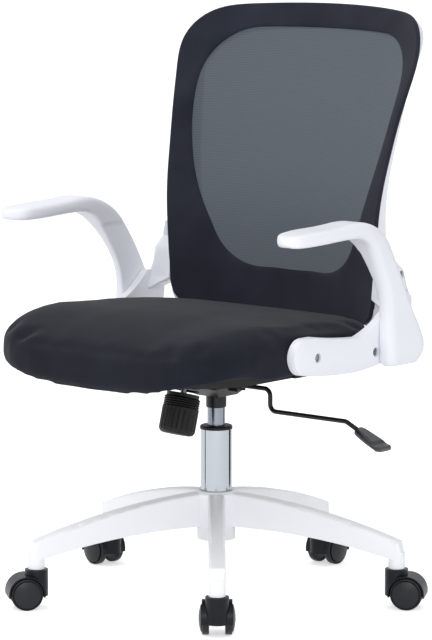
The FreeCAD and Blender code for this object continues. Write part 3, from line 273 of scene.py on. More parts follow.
@dataclass(frozen=True)
class ClothFinish(Finish):
    """Woven polyester on the piece's own map: two thread directions that pass over and under, with fuzz and sheen."""

    thread_mm: float = 1.0
    light: str = "#ffffff"
    sheen: float = 0.05
    depth_mm: float = 0.35
    fuzz_mm: float = 0.8
    wear_mm: float = 90.0

    def dress(self, tree: NodeTree, shader: Node) -> None:
        """Weaves by sines: height is sin(u)sin(v), one thread to half a wave, under a fuzz of noise.

        Args:
            tree: the material's node tree.
            shader: its surface shader.
        """
        place = add_node(tree, "TexCoord").outputs["UV"]
        wave = add_node(tree, "VectorMath", {0: place, "Scale": math.pi / (self.thread_mm * MM)}, operation="SCALE")
        sine = add_node(tree, "VectorMath", {0: wave.outputs["Vector"]}, operation="SINE")
        split = add_node(tree, "SeparateXYZ", {"Vector": sine.outputs["Vector"]}).outputs
        weave = add_node(tree, "Math", {0: split[0], 1: split[1]}, operation="MULTIPLY").outputs[0]
        fuzz = noise(tree, place, self.fuzz_mm, 4.0)
        wear = noise(tree, place, self.wear_mm, 3.0)
        height = add_node(tree, "Math", {0: fuzz, 1: 1.4, 2: weave}, operation="MULTIPLY_ADD").outputs[0]
        thread = span(tree, height, (-0.4, 1.8), (0.0, 1.0))
        lit = add_node(tree, "Math", {0: thread, 1: wear}, operation="MULTIPLY").outputs[0]
        colour = add_node(tree, "Mix", {"Factor": lit, 6: linear(self.colour), 7: linear(self.light)},
                          data_type="RGBA")
        bump = add_node(tree, "Bump", {"Height": thread, "Distance": self.depth_mm * MM, "Strength": 0.5})
        feed(tree, shader, {"Base Color": colour.outputs[2], "Normal": bump.outputs["Normal"],
                            "Sheen Weight": self.sheen, "Sheen Roughness": 0.45})


@dataclass(frozen=True)
class NetFinish(Finish):
    """Knitted mesh on the piece's own map: threads on a lattice, with a hole in each cell that a veil nearly closes."""

    wale_mm: float = 1.5
    course_mm: float = 2.6
    hole: float = 0.5
    veil: float = 0.95
    cover: float = 0.995
    depth_mm: float = 0.1
    light: str = "#ffffff"

    def dress(self, tree: NodeTree, shader: Node) -> None:
        """Opens a hole where both waves of the lattice are near their top, and rounds the threads between.

        Args:
            tree: the material's node tree.
            shader: its surface shader.
        """
        place = add_node(tree, "TexCoord").outputs["UV"]
        pitch = (TURN / (self.wale_mm * MM), TURN / (self.course_mm * MM), 0.0)
        wave = add_node(tree, "VectorMath", {0: place, 1: pitch}, operation="MULTIPLY")
        sine = add_node(tree, "VectorMath", {0: wave.outputs["Vector"]}, operation="SINE")
        split = add_node(tree, "SeparateXYZ", {"Vector": sine.outputs["Vector"]}).outputs
        least = add_node(tree, "Math", {0: split[0], 1: split[1]}, operation="MINIMUM").outputs[0]
        # A wave is above cos(pi * hole) over a share of its length equal to hole.
        edge = math.cos(math.pi * self.hole)
        alpha = span(tree, least, (edge - 0.5, edge + 0.5), (self.cover, self.veil))
        strand = span(tree, least, (-1.0, edge), (1.0, 0.0))
        colour = add_node(tree, "Mix", {"Factor": strand, 6: linear(self.colour), 7: linear(self.light)},
                          data_type="RGBA")
        bump = add_node(tree, "Bump", {"Height": strand, "Distance": self.depth_mm * MM, "Strength": 0.15})
        feed(tree, shader, {"Base Color": colour.outputs[2], "Alpha": alpha, "Normal": bump.outputs["Normal"],
                            "Sheen Weight": 0.05})


# Glass-filled nylon, moulded in white: a close satin grain that stays bright and never mirrors.
WHITE_NYLON = MouldedFinish("white_nylon_moulded", "#e5e7ee", 0.42, ior=1.53, grain_mm=1.1, edge_mm=1.2,
                            clouding=0.04, shade="#d3d8e0")
# The same nylon of the base, with more gloss, painted lighter than the arms' nylon: painted light that brightens the
# base where the seat shades it.
BASE_NYLON_PAINTED_LIGHT = MouldedFinish("white_nylon_base_painted_light", "#f3f5f9", 0.38, ior=1.53, grain_mm=1.1, depth_mm=0.02,
                           edge_mm=1.2, clouding=0.03, shade="#dde1ea")
# Polypropylene with a coarse moulded grain: a dull dark surface with broad highlights.
GRAINED_PLASTIC = MouldedFinish("black_polypropylene_grained", "#0a0b0d", 0.5, ior=1.49, specular=0.3,
                                relief=Relief.LEATHERY, grain_mm=1.0, depth_mm=0.06, edge_mm=0.6, clouding=0.15,
                                shade="#17181c")
# Nylon of the caster hoods: smoother, so that the lights show as soft streaks.
HOOD_NYLON = MouldedFinish("black_nylon_hood", "#080a12", 0.38, ior=1.53, specular=0.2, grain_mm=0.7, depth_mm=0.015,
                           clouding=0.2, shade="#151824")
# Smooth ABS of the lever's paddle, with a soft shine; its colour is painted a little lighter than the other black
# plastics, as a painted highlight on its top face.
PADDLE_ABS_PAINTED_HIGHLIGHT = MouldedFinish("black_abs_paddle_painted_highlight", "#16181d", 0.32, ior=1.52, specular=0.6, depth_mm=0.02, edge_mm=1.0,
                           clouding=0.2, shade="#24262d")
# Nylon of the wheels: a fine dull grain.
WHEEL_NYLON = MouldedFinish("black_nylon_wheel", "#0a0c13", 0.4, ior=1.53, specular=0.32, grain_mm=0.8, depth_mm=0.02,
                            edge_mm=0.5, clouding=0.2, shade="#161922")
# Steel sheet under black powder coat: orange-peel texture.
POWDER_COAT = MouldedFinish("steel_black_powder_coat", "#0b0c0f", 0.45, specular=0.3, relief=Relief.COATED,
                            grain_mm=1.6, depth_mm=0.05, edge_mm=0.7, clouding=0.15, shade="#1c1d20", coat=0.1)
# Chromium plate on a drawn tube: nearly a mirror.
CHROME = MetalFinish("chromium_plate", "#a4a9af", 0.07, metallic=1.0, line_mm=0.8, stretch=60.0, depth_mm=0.003)
# Ground carbon steel of pins, bolts and the inner tube.
GROUND_STEEL = MetalFinish("ground_steel", "#858c96", 0.24, metallic=1.0, line_mm=0.4, stretch=20.0, depth_mm=0.006)
# Oil-tempered spring wire: dark, with a dull shine.
SPRING_WIRE = MetalFinish("oiled_spring_steel", "#3a3c40", 0.34, metallic=1.0, line_mm=0.5, stretch=2.0)
# Woven polyester of the seat.
SEAT_CLOTH = ClothFinish("seat_woven_polyester", "#0a0c12", 0.9, specular=0.2, thread_mm=1.2, light="#2a2e3e",
                         sheen=0.06)
# Closer cloth of the back's border. Its lighter thread colour is partly the cloth's own and partly painted light,
# raised towards the border's lit upper part.
BORDER_CLOTH_PAINTED_LIGHT = ClothFinish("border_woven_polyester_painted_light", "#10121a", 0.9, specular=0.2, light="#3f4253")
# Knitted mesh of the back: columns of 1.5 mm in rows of 2.6 mm.
BACK_NET = NetFinish("back_knitted_mesh", "#3a4148", 0.8, specular=0.25, light="#59626b")


def surface(name: str, points: Array, around: bool = False, along: bool = False, uv: Array | None = None) -> Object:
    """Makes a mesh from a grid of points, one face to each cell.

    Args:
        name: name of the piece.
        points: rows x columns x 3, in millimetres.
        around: True where the last column joins the first.
        along: True where the last row joins the first.
        uv: rows x columns x 2 map in metres, if the piece has one.

    Returns:
        The object, at the origin, smooth shaded.
    """
    rows, columns = points.shape[:2]
    i, j = np.meshgrid(np.arange(rows if along else rows - 1), np.arange(columns if around else columns - 1),
                       indexing="ij")
    i2, j2 = (i + 1) % rows, (j + 1) % columns
    cells = np.stack([i * columns + j, i * columns + j2, i2 * columns + j2, i2 * columns + j], axis=-1).reshape(-1, 4)
    return mesh_object(name, points.reshape(-1, 3) * MM, cells, uv=None if uv is None else uv.reshape(-1, 2))


def chart(mesh: Mesh, uv: Array) -> None:
    """Gives a mesh its map.

    Args:
        mesh: the mesh.
        uv: count x 2, one pair in metres to each vertex.
    """
    corner = np.empty(len(mesh.loops), dtype=np.int32)
    mesh.loops.foreach_get("vertex_index", corner)
    layer = mesh.uv_layers.new(name="map")
    layer.data.foreach_set("uv", uv[corner].astype(np.float32).ravel())


def ramp(value: Array, low: float, high: float) -> Array:
    """Smooth step: 0 at low and 1 at high, as t * t * (3 - 2t).

    Args:
        value: any shape.
        low: where the step starts.
        high: where it ends.

    Returns:
        The step, in the same shape.
    """
    t = np.clip((value - low) / (high - low), 0.0, 1.0)
    return t * t * (3.0 - 2.0 * t)


def mesh_object(name: str, vertices: Array, faces: Array, sharp: float = 35.0, uv: Array | None = None) -> Object:
    """Puts vertices and faces into a smooth-shaded object.

    Args:
        name: name of the piece.
        vertices: count x 3, in metres.
        faces: count x 3 or count x 4 indices.
        sharp: edges that turn by more than this many degrees stay sharp.
        uv: count x 2 map in metres, if the piece has one.

    Returns:
        The object, linked to the scene at the origin.
    """
    merged, first, index = np.unique(np.round(vertices, 7), axis=0, return_index=True, return_inverse=True)
    faces = index.reshape(-1)[faces]
    kept = faces[[len(set(f)) > 2 for f in faces.tolist()]]
    mesh = bpy.data.meshes.new(name)
    mesh.from_pydata(merged.tolist(), [], [list(dict.fromkeys(f)) for f in kept.tolist()])
    mesh.validate()
    mesh.polygons.foreach_set("use_smooth", np.ones(len(mesh.polygons), dtype=bool))
    mesh.set_sharp_from_angle(angle=math.radians(sharp))
    if uv is not None:
        chart(mesh, uv[first])
    obj = bpy.data.objects.new(name, mesh)
    bpy.context.scene.collection.objects.link(obj)
    return obj


def turned(name: str, profile: Array, origin: Array, axis: Array, steps: int, ripple: Array | None = None) -> Object:
    """Turns a profile round an axis: point = origin + axis * s + r(s, angle) * (cos, sin).

    Args:
        name: name of the piece.
        profile: count x 2, radius and distance along the axis.
        origin: where distance 0 is.
        axis: unit direction.
        steps: count of points round the axis.
        ripple: count x steps change of the radius, if it isn't round.

    Returns:
        The object.
    """
    angle = np.arange(steps) * TURN / steps
    side = np.cross(axis, (1.0, 0.0, 0.0) if abs(axis[0]) < 0.9 else (0.0, 1.0, 0.0))
    side /= np.linalg.norm(side)
    up = np.cross(axis, side)
    radius = profile[:, :1] + (0.0 if ripple is None else ripple)
    ring = np.cos(angle)[:, None] * side + np.sin(angle)[:, None] * up
    points = origin + profile[:, 1, None, None] * axis + (radius * np.ones(steps))[:, :, None] * ring
    return surface(name, points, around=True)


def chain(start: tuple[float, float], steps: list[tuple]) -> Array:
    """Follows straight runs and arcs in a plane.

    Args:
        start: first point.
        steps: for a run its end, for an arc a pair of a point on the way and its end.

    Returns:
        Count x 2 points, 32 to a step, without the last where it is the first again.
    """
    parts = []
    here = np.array(start, float)
    share = np.linspace(0.0, 1.0, 32, endpoint=False)
    for step in steps:
        if not hasattr(step[0], "__len__"):
            end = np.array(step, float)
            parts.append(here + (end - here) * share[:, None])
            here = end
            continue
        via, end = np.array(step[0], float), np.array(step[1], float)
        system = 2.0 * np.array([via - here, end - here])
        centre = np.linalg.solve(system, np.array([via @ via - here @ here, end @ end - here @ here]))
        a0, a1, a2 = (math.atan2(*(p - centre)[::-1]) for p in (here, via, end))
        sweep = (a2 - a0) % TURN
        if (a1 - a0) % TURN > sweep:
            sweep -= TURN
        angle = a0 + sweep * share
        parts.append(centre + np.hypot(*(here - centre)) * np.stack([np.cos(angle), np.sin(angle)], axis=1))
        here = end
    return np.concatenate(parts)


def spline(at: Array, knots: Array, values: Array) -> Array:
    """Natural cubic spline through values at knots.

    Args:
        at: where it is read.
        knots: rising places.
        values: value at each.

    Returns:
        The values there.
    """
    h = np.diff(knots)
    n = len(knots)
    system = np.eye(n)
    right = np.zeros(n)
    inner = np.arange(1, n - 1)
    system[inner, inner - 1], system[inner, inner], system[inner, inner + 1] = h[:-1], 2.0 * (h[:-1] + h[1:]), h[1:]
    right[inner] = 6.0 * (np.diff(values)[1:] / h[1:] - np.diff(values)[:-1] / h[:-1])
    bend = np.linalg.solve(system, right)
    k = np.clip(np.searchsorted(knots, at) - 1, 0, n - 2)
    a, b = knots[k + 1] - at, at - knots[k]
    return ((bend[k] * a ** 3 + bend[k + 1] * b ** 3) / (6.0 * h[k])
            + (values[k] / h[k] - bend[k] * h[k] / 6.0) * a + (values[k + 1] / h[k] - bend[k + 1] * h[k] / 6.0) * b)


def arrays(piece: Object) -> tuple[Array, Array]:
    """Reads a mesh.

    Args:
        piece: whose mesh.

    Returns:
        Its points in metres and its normals, both count x 3.
    """
    points = np.empty(3 * len(piece.data.vertices))
    normal = np.empty_like(points)
    piece.data.vertices.foreach_get("co", points)
    piece.data.vertices.foreach_get("normal", normal)
    return points.reshape(-1, 3), normal.reshape(-1, 3)


def move(piece: Object, points: Array) -> None:
    """Puts a mesh's points, count x 3 in metres, to new places."""
    piece.data.vertices.foreach_set("co", points.ravel())
    piece.data.update()


def freeze(piece: Object) -> None:
    """Applies a piece's modifiers to its mesh.

    Args:
        piece: the piece.
    """
    shown = piece.evaluated_get(bpy.context.evaluated_depsgraph_get())
    mesh = bpy.data.meshes.new_from_object(shown)
    piece.modifiers.clear()
    old, piece.data = piece.data, mesh
    bpy.data.meshes.remove(old)


def remesh(piece: Object, voxel: float) -> None:
    """Rebuilds a closed mesh from even cells.

    Args:
        piece: the piece, whose mesh changes.
        voxel: size of a cell, in millimetres.
    """
    cells = piece.modifiers.new("voxels", "REMESH")
    cells.mode = "VOXEL"
    cells.voxel_size = voxel * MM
    freeze(piece)
    piece.data.polygons.foreach_set("use_smooth", np.ones(len(piece.data.polygons), dtype=bool))


def even(piece: Object, rounds: int) -> None:
    """Smooths a mesh without shrinking it: each point goes towards its neighbours' mean and back, in turn.

    Args:
        piece: the piece, whose mesh changes.
        rounds: how often.
    """
    points = arrays(piece)[0]
    edges = np.empty(2 * len(piece.data.edges), dtype=np.int32)
    piece.data.edges.foreach_get("vertices", edges)
    edges = edges.reshape(-1, 2)
    here, there = np.concatenate([edges[:, 0], edges[:, 1]]), np.concatenate([edges[:, 1], edges[:, 0]])
    count = np.bincount(here, minlength=len(points))[:, None]
    for step in (0.5, -0.52) * rounds:
        total = np.stack([np.bincount(here, points[there, k], len(points)) for k in range(3)], axis=1)
        points = points + step * (total / count - points)
    move(piece, points)


@dataclass
class Chair:
    """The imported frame: its nodes, bodies and joints, and how a piece is joined to it."""

    frame: dict
    sharp: float = 32.0

    def joint(self, name: str) -> tuple[Array, Array]:
        """Gives a joint's place in millimetres and its axis.

        Args:
            name: name of the joint.

        Returns:
            Place and unit axis.
        """
        found = next(j for j in self.frame["joints"] if j["name"] == name)
        axis = np.array(found["axis"], float)
        return np.array(found["pos_m"], float) / MM, axis / np.linalg.norm(axis)

    def place(self, piece: Object, finish: Finish, *nodes: str) -> Object:
        """Gives a piece its finish and lets it stand for nodes, on their body.

        Args:
            piece: the new piece.
            finish: what it is made of.
            nodes: CAD nodes that it stands for.

        Returns:
            The piece.
        """
        piece.data.materials.clear()
        piece.data.materials.append(finish.material())
        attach(piece, self.frame["nodes"][nodes[0]]["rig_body"])
        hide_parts(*nodes)
        LOG.info("%s: %d faces for %s", piece.name, len(piece.data.polygons), ", ".join(nodes))
        return piece

    def smoothed(self, node: str, suffix: str = "_shell") -> Object:
        """Copies a node's triangles with joined corners, so that its round faces shade smoothly.

        Args:
            node: name of the CAD node.
            suffix: added to the node's name.

        Returns:
            The copy.
        """
        source = self.frame["nodes"][node]
        mesh = source.data
        mesh.calc_loop_triangles()
        faces = np.empty(3 * len(mesh.loop_triangles), dtype=np.int32)
        mesh.loop_triangles.foreach_get("vertices", faces)
        return mesh_object(node + suffix, arrays(source)[0], faces.reshape(-1, 3), self.sharp)

    def dress(self, finish: Finish, *nodes: str) -> None:
        """Dresses nodes whose shape is right with smoothed copies in one finish."""
        for node in nodes:
            self.place(self.smoothed(node), finish, node)

    def mould(self, finish: Finish, voxel: float, rounds: int, *nodes: str) -> None:
        """Dresses nodes with copies whose lofted faces run into each other, as in a moulding.

        Args:
            finish: what they are made of.
            voxel: size of the cells that they are rebuilt from, in millimetres.
            rounds: how often they are smoothed.
            nodes: names of the CAD nodes.
        """
        for node in nodes:
            piece = self.smoothed(node)
            remesh(piece, voxel)
            even(piece, rounds)
            self.place(piece, finish, node)


@dataclass
class Back:
    """Bowed back: a cloth border round a window of mesh."""

    chair: Chair
    board: float = 380.0
    curve_r: float = 395.0
    line: tuple = ((30.0, 183.0), (130.0, 186.0), (210.0, 188.0), (255.0, 195.0), (310.0, 210.5), (380.0, 235.0),
                   (460.0, 269.0), (550.0, 295.0))
    low: float = 48.0
    height: float = 487.0
    half_low: float = 206.0
    half_mid: float = 219.5
    half_top: float = 239.5
    corner_r: float = 68.0
    foot_r: float = 30.0
    crown: float = 6.0
    window_low: float = 117.0
    window_top: float = 496.0
    window_half: float = 202.0
    thick: float = 8.0
    mesh_depth: float = 3.7
    net_rings: int = 72
    net_under: float = 1.0
    bow_share: float = 1.05
    line_share: float = 1.04
    middle: float = 690.0
    steps: int = 384
    soften: int = 24
    draw_in: float = 0.045

    def at(self, x: Array, z: Array, depth: Array) -> Array:
        """Bends a front view round the sitter: at each height a circle of radius curve_r + depth, moved by the line.

        Args:
            x: distance from the middle, measured on the front face.
            z: height.
            depth: distance behind the front face.

        Returns:
            Points, with a last axis of 3.
        """
        knots = np.array([h + self.board for h, _ in self.line])
        y = spline(z, knots, np.array([v for _, v in self.line]))
        angle = np.arcsin(x / self.curve_r)
        r = self.curve_r + depth
        return np.stack([r * np.sin(angle), y - self.curve_r + r * np.cos(angle), z], axis=-1)

    def outline(self) -> Array:
        """Front view of the back: long bowed sides, large upper corners and small lower ones, as arcs.

        Returns:
            Count x 2, across and upwards.
        """
        low, top = self.board + self.low, self.board + self.low + self.height
        k = math.sqrt(0.5)
        foot, corner = low + self.foot_r, top - self.corner_r - self.crown
        mid = 0.5 * (foot + top)
        cx, fx = self.half_top - self.corner_r, self.half_low - self.foot_r + 2.0
        bend = k * self.foot_r
        return chain((-fx, low), [
            (fx, low), ((fx + bend, foot - bend), (self.half_low, foot)),
            ((self.half_mid, mid), (self.half_top, corner)),
            ((cx + k * self.corner_r, corner + k * self.corner_r), (cx, top - self.crown)),
            ((0.0, top), (-cx, top - self.crown)),
            ((-cx - k * self.corner_r, corner + k * self.corner_r), (-self.half_top, corner)),
            ((-self.half_mid, mid), (-self.half_low, foot)), ((-fx - bend, foot - bend), (-fx, low)),
        ])

    def window(self) -> Array:
        """Front view of the window: nearly straight on top, narrowing to a broad round bottom, as arcs.

        Returns:
            Count x 2, across and upwards.
        """
        low, top, half = self.board + self.window_low, self.board + self.window_top, self.window_half
        shoulder, waist = top - 78.0, low + 62.0
        return chain((-45.0, low + 2.0), [
            ((0.0, low), (45.0, low + 2.0)), ((half - 95.0, low + 13.0), (half - 60.0, waist)),
            ((half - 15.0, waist + 124.0), (half, shoulder)), ((half - 22.0, top - 25.0), (half - 67.0, top - 2.0)),
            ((0.0, top), (67.0 - half, top - 2.0)), ((22.0 - half, top - 25.0), (-half, shoulder)),
            ((15.0 - half, waist + 124.0), (60.0 - half, waist)), ((95.0 - half, low + 13.0), (-45.0, low + 2.0)),
        ])

    def rays(self, curve: Array) -> Array:
        """Distance from the middle of the window to a closed curve, in evenly spaced directions, without kinks.

        Args:
            curve: count x 2 points of a curve that each direction meets once.

        Returns:
            One distance to each direction.
        """
        angle = np.unwrap(np.arctan2(curve[:, 1] - self.middle, curve[:, 0]))
        reach = np.hypot(curve[:, 0], curve[:, 1] - self.middle)
        reach = np.interp(self.directions(), angle - TURN * math.floor(angle[0] / TURN), reach, period=TURN)
        for _ in range(self.soften):
            reach = 0.5 * reach + 0.25 * (np.roll(reach, 1) + np.roll(reach, -1))
        return reach

    def directions(self) -> Array:
        """Evenly spaced directions round the middle."""
        return np.arange(self.steps) * TURN / self.steps

    def section(self) -> Array:
        """Border's closed section: share of the way from window to edge, offset from there, and depth, in millimetres.

        Returns:
            Count x 3, front first: a low crown, a round outer edge, the rear face and a thin lip at the window.
        """
        half = 0.5 * self.thick
        share = np.linspace(0.0, 1.0, 22)
        front = np.stack([share, 6.0 - 10.0 * share, 0.55 - 1.1 * np.sin(math.pi * share) ** 0.8], axis=1)
        turn = np.linspace(-0.5 * math.pi, 0.5 * math.pi, 12)[1:-1]
        edge = np.stack([np.ones(10), -half + half * np.cos(turn), half + (half - 0.2) * np.sin(turn)], axis=1)
        rear = np.array([[1.0, -half, self.thick - 0.3], [0.66, 0.0, self.thick - 0.3], [0.33, 0.0, self.thick - 0.3],
                         [0.0, 12.0, self.thick - 0.3], [0.0, 6.0, 6.2], [0.0, 1.5, 5.1]])
        lip = np.array([[0.0, 0.4, 4.6], [0.0, 0.0, 3.8], [0.0, 0.3, 2.9], [0.0, 1.4, 2.1], [0.0, 3.6, 1.2]])
        return np.concatenate([front, edge, rear, lip])

    def laid(self, reach: Array, angle: Array, depth: Array | float) -> tuple[Array, Array]:
        """Lays points round the middle of the window onto the back.

        Args:
            reach: distance of each from the middle, in the front view.
            angle: its direction.
            depth: its distance behind the front face.

        Returns:
            The points, and their map in metres along the bow and upwards.
        """
        x = reach * np.cos(angle)
        z = self.middle + reach * np.sin(angle)
        uv = np.stack([self.curve_r * np.arcsin(x / self.curve_r), z], axis=-1) * MM
        return self.at(x, z, depth * np.ones_like(x)), uv

    def shell(self) -> None:
        """Copies the white frame, drawn in above its middle so that the cloth's edge covers it."""
        piece = self.chair.smoothed("back_frame")
        points = arrays(piece)[0] / MM
        draw = 1.0 - self.draw_in * ramp(points[:, 2], self.middle, self.middle + self.half_top)
        points[:, 0] *= draw
        points[:, 2] = self.middle + (points[:, 2] - self.middle) * draw
        move(piece, points * MM)
        self.chair.place(piece, WHITE_NYLON, "back_frame")

    def build(self) -> None:
        """Makes the frame's shell, the border and the mesh."""
        self.shell()
        inner, outer = self.rays(self.window()), self.rays(self.outline())
        angle = self.directions()
        share, offset, depth = self.section().T
        reach = inner[:, None] + share * (outer - inner)[:, None] + offset
        points, uv = self.laid(reach, angle[:, None], depth)
        border = surface("back_border_cover", points, around=True, along=True, uv=uv)
        # The border's cloth is partly painted light: its thread colour is raised towards the lit upper part of the
        # border.
        self.chair.place(border, BORDER_CLOTH_PAINTED_LIGHT, "back_border")

        spread = np.linspace(0.0, 1.0, self.net_rings)
        points, uv = self.laid(spread[:, None] * (inner + self.net_under), angle, self.mesh_depth)
        net = surface("back_mesh_net", points, around=True, uv=uv)
        net.data.flip_normals()
        self.chair.place(net, BACK_NET, "back_mesh")


@dataclass
class Seat:
    """Foam cushion in woven cloth, blown up by cloth simulation, with a seam between its top and its side band."""

    chair: Chair
    back: Back
    voxel: float = 3.8
    smoothing: int = 250
    corner_fill: float = 10.0
    fill_x: tuple = (90.0, 215.0)
    fill_y: tuple = (50.0, 230.0)
    fill_z: tuple = (400.0, 436.0)
    lip_drop: float = 4.0
    lip_y: tuple = (90.0, 210.0)
    lip_z: tuple = (-408.0, -372.0)
    shrink: float = 2.0
    cap: float = 5.0
    half_w: float = 245.0
    seam_front: float = 421.0
    seam_rear: float = 436.0
    front: float = -306.0
    rear: float = 150.0
    top: float = 462.0
    groove: float = 1.2
    groove_half: float = 5.0
    held_below: float = 396.0
    frames: int = 20
    pressure: float = 4.0
    gap: float = 0.3
    back_gap: float = 2.0

    def build(self) -> None:
        """Makes the cushion from the node's form."""
        piece = self.chair.smoothed("seat_cushion", "_cover")
        remesh(piece, self.voxel)
        even(piece, self.smoothing)
        start, normal = arrays(piece)
        start = start - normal * self.shrink * MM
        move(piece, start)
        self.inflate(piece)
        moved = arrays(piece)[0] - start
        step = np.linalg.norm(moved, axis=1)[:, None]
        points = start + moved * np.minimum(1.0, self.cap * MM / np.maximum(step, 1e-9))
        move(piece, points)
        even(piece, self.smoothing)
        points = self.seamed(*arrays(piece))
        points = self.clear(self.shaped(points))
        move(piece, points)
        # The cloth's threads run across and along the top and on down the sides.
        down = (self.top * MM - points[:, 2:]) / MM
        chart(piece.data, points[:, :2] * (1.0 + down / np.array([self.half_w, -self.front])))
        self.chair.place(piece, SEAT_CLOTH, "seat_cushion")

    def inflate(self, piece: Object) -> None:
        """Lets pressure fill the cover for some frames, with its underside held.

        Args:
            piece: the cushion's cover.
        """
        points, normal = arrays(piece)
        held = np.flatnonzero((normal[:, 2] < -0.6) & (points[:, 2] < self.held_below * MM))
        group = piece.vertex_groups.new(name="held")
        group.add(held.tolist(), 1.0, "REPLACE")
        cloth = piece.modifiers.new("cover", "CLOTH")
        cloth.settings.vertex_group_mass = "held"
        cloth.settings.use_pressure = True
        cloth.settings.uniform_pressure_force = self.pressure
        cloth.settings.effector_weights.gravity = 0.0
        cloth.settings.quality = 4
        scene = bpy.context.scene
        cloth.point_cache.frame_start, cloth.point_cache.frame_end = 1, self.frames
        for frame in range(1, self.frames + 1):
            scene.frame_set(frame)
        freeze(piece)
        scene.frame_set(1)
        piece.vertex_groups.clear()

    def seamed(self, points: Array, normal: Array) -> Array:
        """Draws the cover in along the seam: depth falls off as exp(-(height / groove_half)^2) on both sides.

        Args:
            points: count x 3, in metres.
            normal: count x 3.

        Returns:
            The points with the seam.
        """
        y, z = points[:, 1:].T / MM
        share = np.clip((y - self.front) / (self.rear - self.front), 0.0, 1.0)
        level = self.seam_front + (self.seam_rear - self.seam_front) * share
        outside = np.hypot(normal[:, 0], normal[:, 1]) > 0.35
        depth = self.groove * np.exp(-((z - level) / self.groove_half) ** 2) * outside
        return points - normal * depth[:, None] * MM

    def shaped(self, points: Array) -> Array:
        """Fills the front corners, whose upper rim rises by up to corner_fill, and lets the front's lower edge hang.

        Args:
            points: count x 3, in metres.

        Returns:
            The points.
        """
        x, y, z = points.T / MM
        z = z + self.corner_fill * ramp(np.abs(x), *self.fill_x) * ramp(-y, *self.fill_y) * ramp(z, *self.fill_z)
        z = z - self.lip_drop * ramp(-z, *self.lip_z) * ramp(-y, *self.lip_y)
        return np.stack([x, y, z], axis=1) * MM

    def clear(self, points: Array) -> Array:
        """Keeps the cover clear of the brackets at its sides and of the back behind it.

        Args:
            points: count x 3, in metres.

        Returns:
            The points, moved where they were too far out.
        """
        x, y, z = points.T / MM
        x = np.clip(x, self.gap - self.half_w, self.half_w - self.gap)
        low, high = self.back.board + self.back.low, self.back.board + self.back.low + self.back.height
        limit = self.back.at(x, np.clip(z, low - 8.0, high), np.zeros_like(x))[:, 1] - self.back_gap
        y = np.where(z > low - 6.0, np.minimum(y, limit), y)
        return np.stack([x, y, z], axis=1) * MM


@dataclass
class Casters:
    """Five twin-wheel casters: hoods from the frame and turned wheels."""

    chair: Chair
    count: int = 5
    tread_r: float = 25.0
    inner: float = 12.0
    tread_w: float = 11.0
    dome: float = 4.8
    step: float = 1.4
    bore: float = 4.05

    def profile(self) -> Array:
        """Wheel's half section: bore, hollow inner face, rounded tread, ring groove and domed disc.

        Returns:
            Count x 2, radius and distance from the caster's middle plane.
        """
        low, rim, r = self.inner, self.inner + self.tread_w, self.tread_r
        share = np.linspace(0.0, 1.0, 14)
        swell = (self.dome - self.step) * (1.0 - (1.0 - share) ** 2.2)
        dome = np.stack([(r - 4.2) * (1.0 - share), rim + self.step + swell], axis=1)
        hub = [(0.0, rim - 0.2), (self.bore, rim - 0.2), (self.bore, low), (8.0, low)]
        hollow = [(8.6, low + 1.5), (r - 4.4, low + 1.5), (r - 3.6, low + 0.2), (r - 1.5, low)]
        tread = [(r - 0.5, low + 0.4), (r, low + 1.5), (r, rim - 2.0), (r - 0.4, rim - 0.9), (r - 1.2, rim - 0.3)]
        groove = [(r - 2.2, rim - 0.1), (r - 2.6, rim - 0.5), (r - 2.9, rim - 1.6), (r - 3.7, rim - 1.6),
                  (r - 4.0, rim - 0.6), (r - 4.15, rim + 0.8)]
        return np.concatenate([hub, hollow, tread, groove, dome])

    def build(self) -> None:
        """Makes the ten wheels and dresses the hoods, stems and axles."""
        for k in range(1, self.count + 1):
            for side in "ab":
                node = f"caster_{k}_wheel_{side}"
                hub, axis = self.chair.joint(f"caster_{k}_roll_{side}")
                low, high = (np.array(c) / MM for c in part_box(node))
                out = axis if (0.5 * (low + high) - hub) @ axis > 0 else -axis
                wheel = turned(f"caster_{k}_wheel_{side}_disc", self.profile(), hub, out, steps=72)
                self.chair.place(wheel, WHEEL_NYLON, node)
            self.chair.dress(HOOD_NYLON, f"caster_{k}_hood")
            self.chair.dress(GROUND_STEEL, f"caster_{k}_stem", f"caster_{k}_axle")


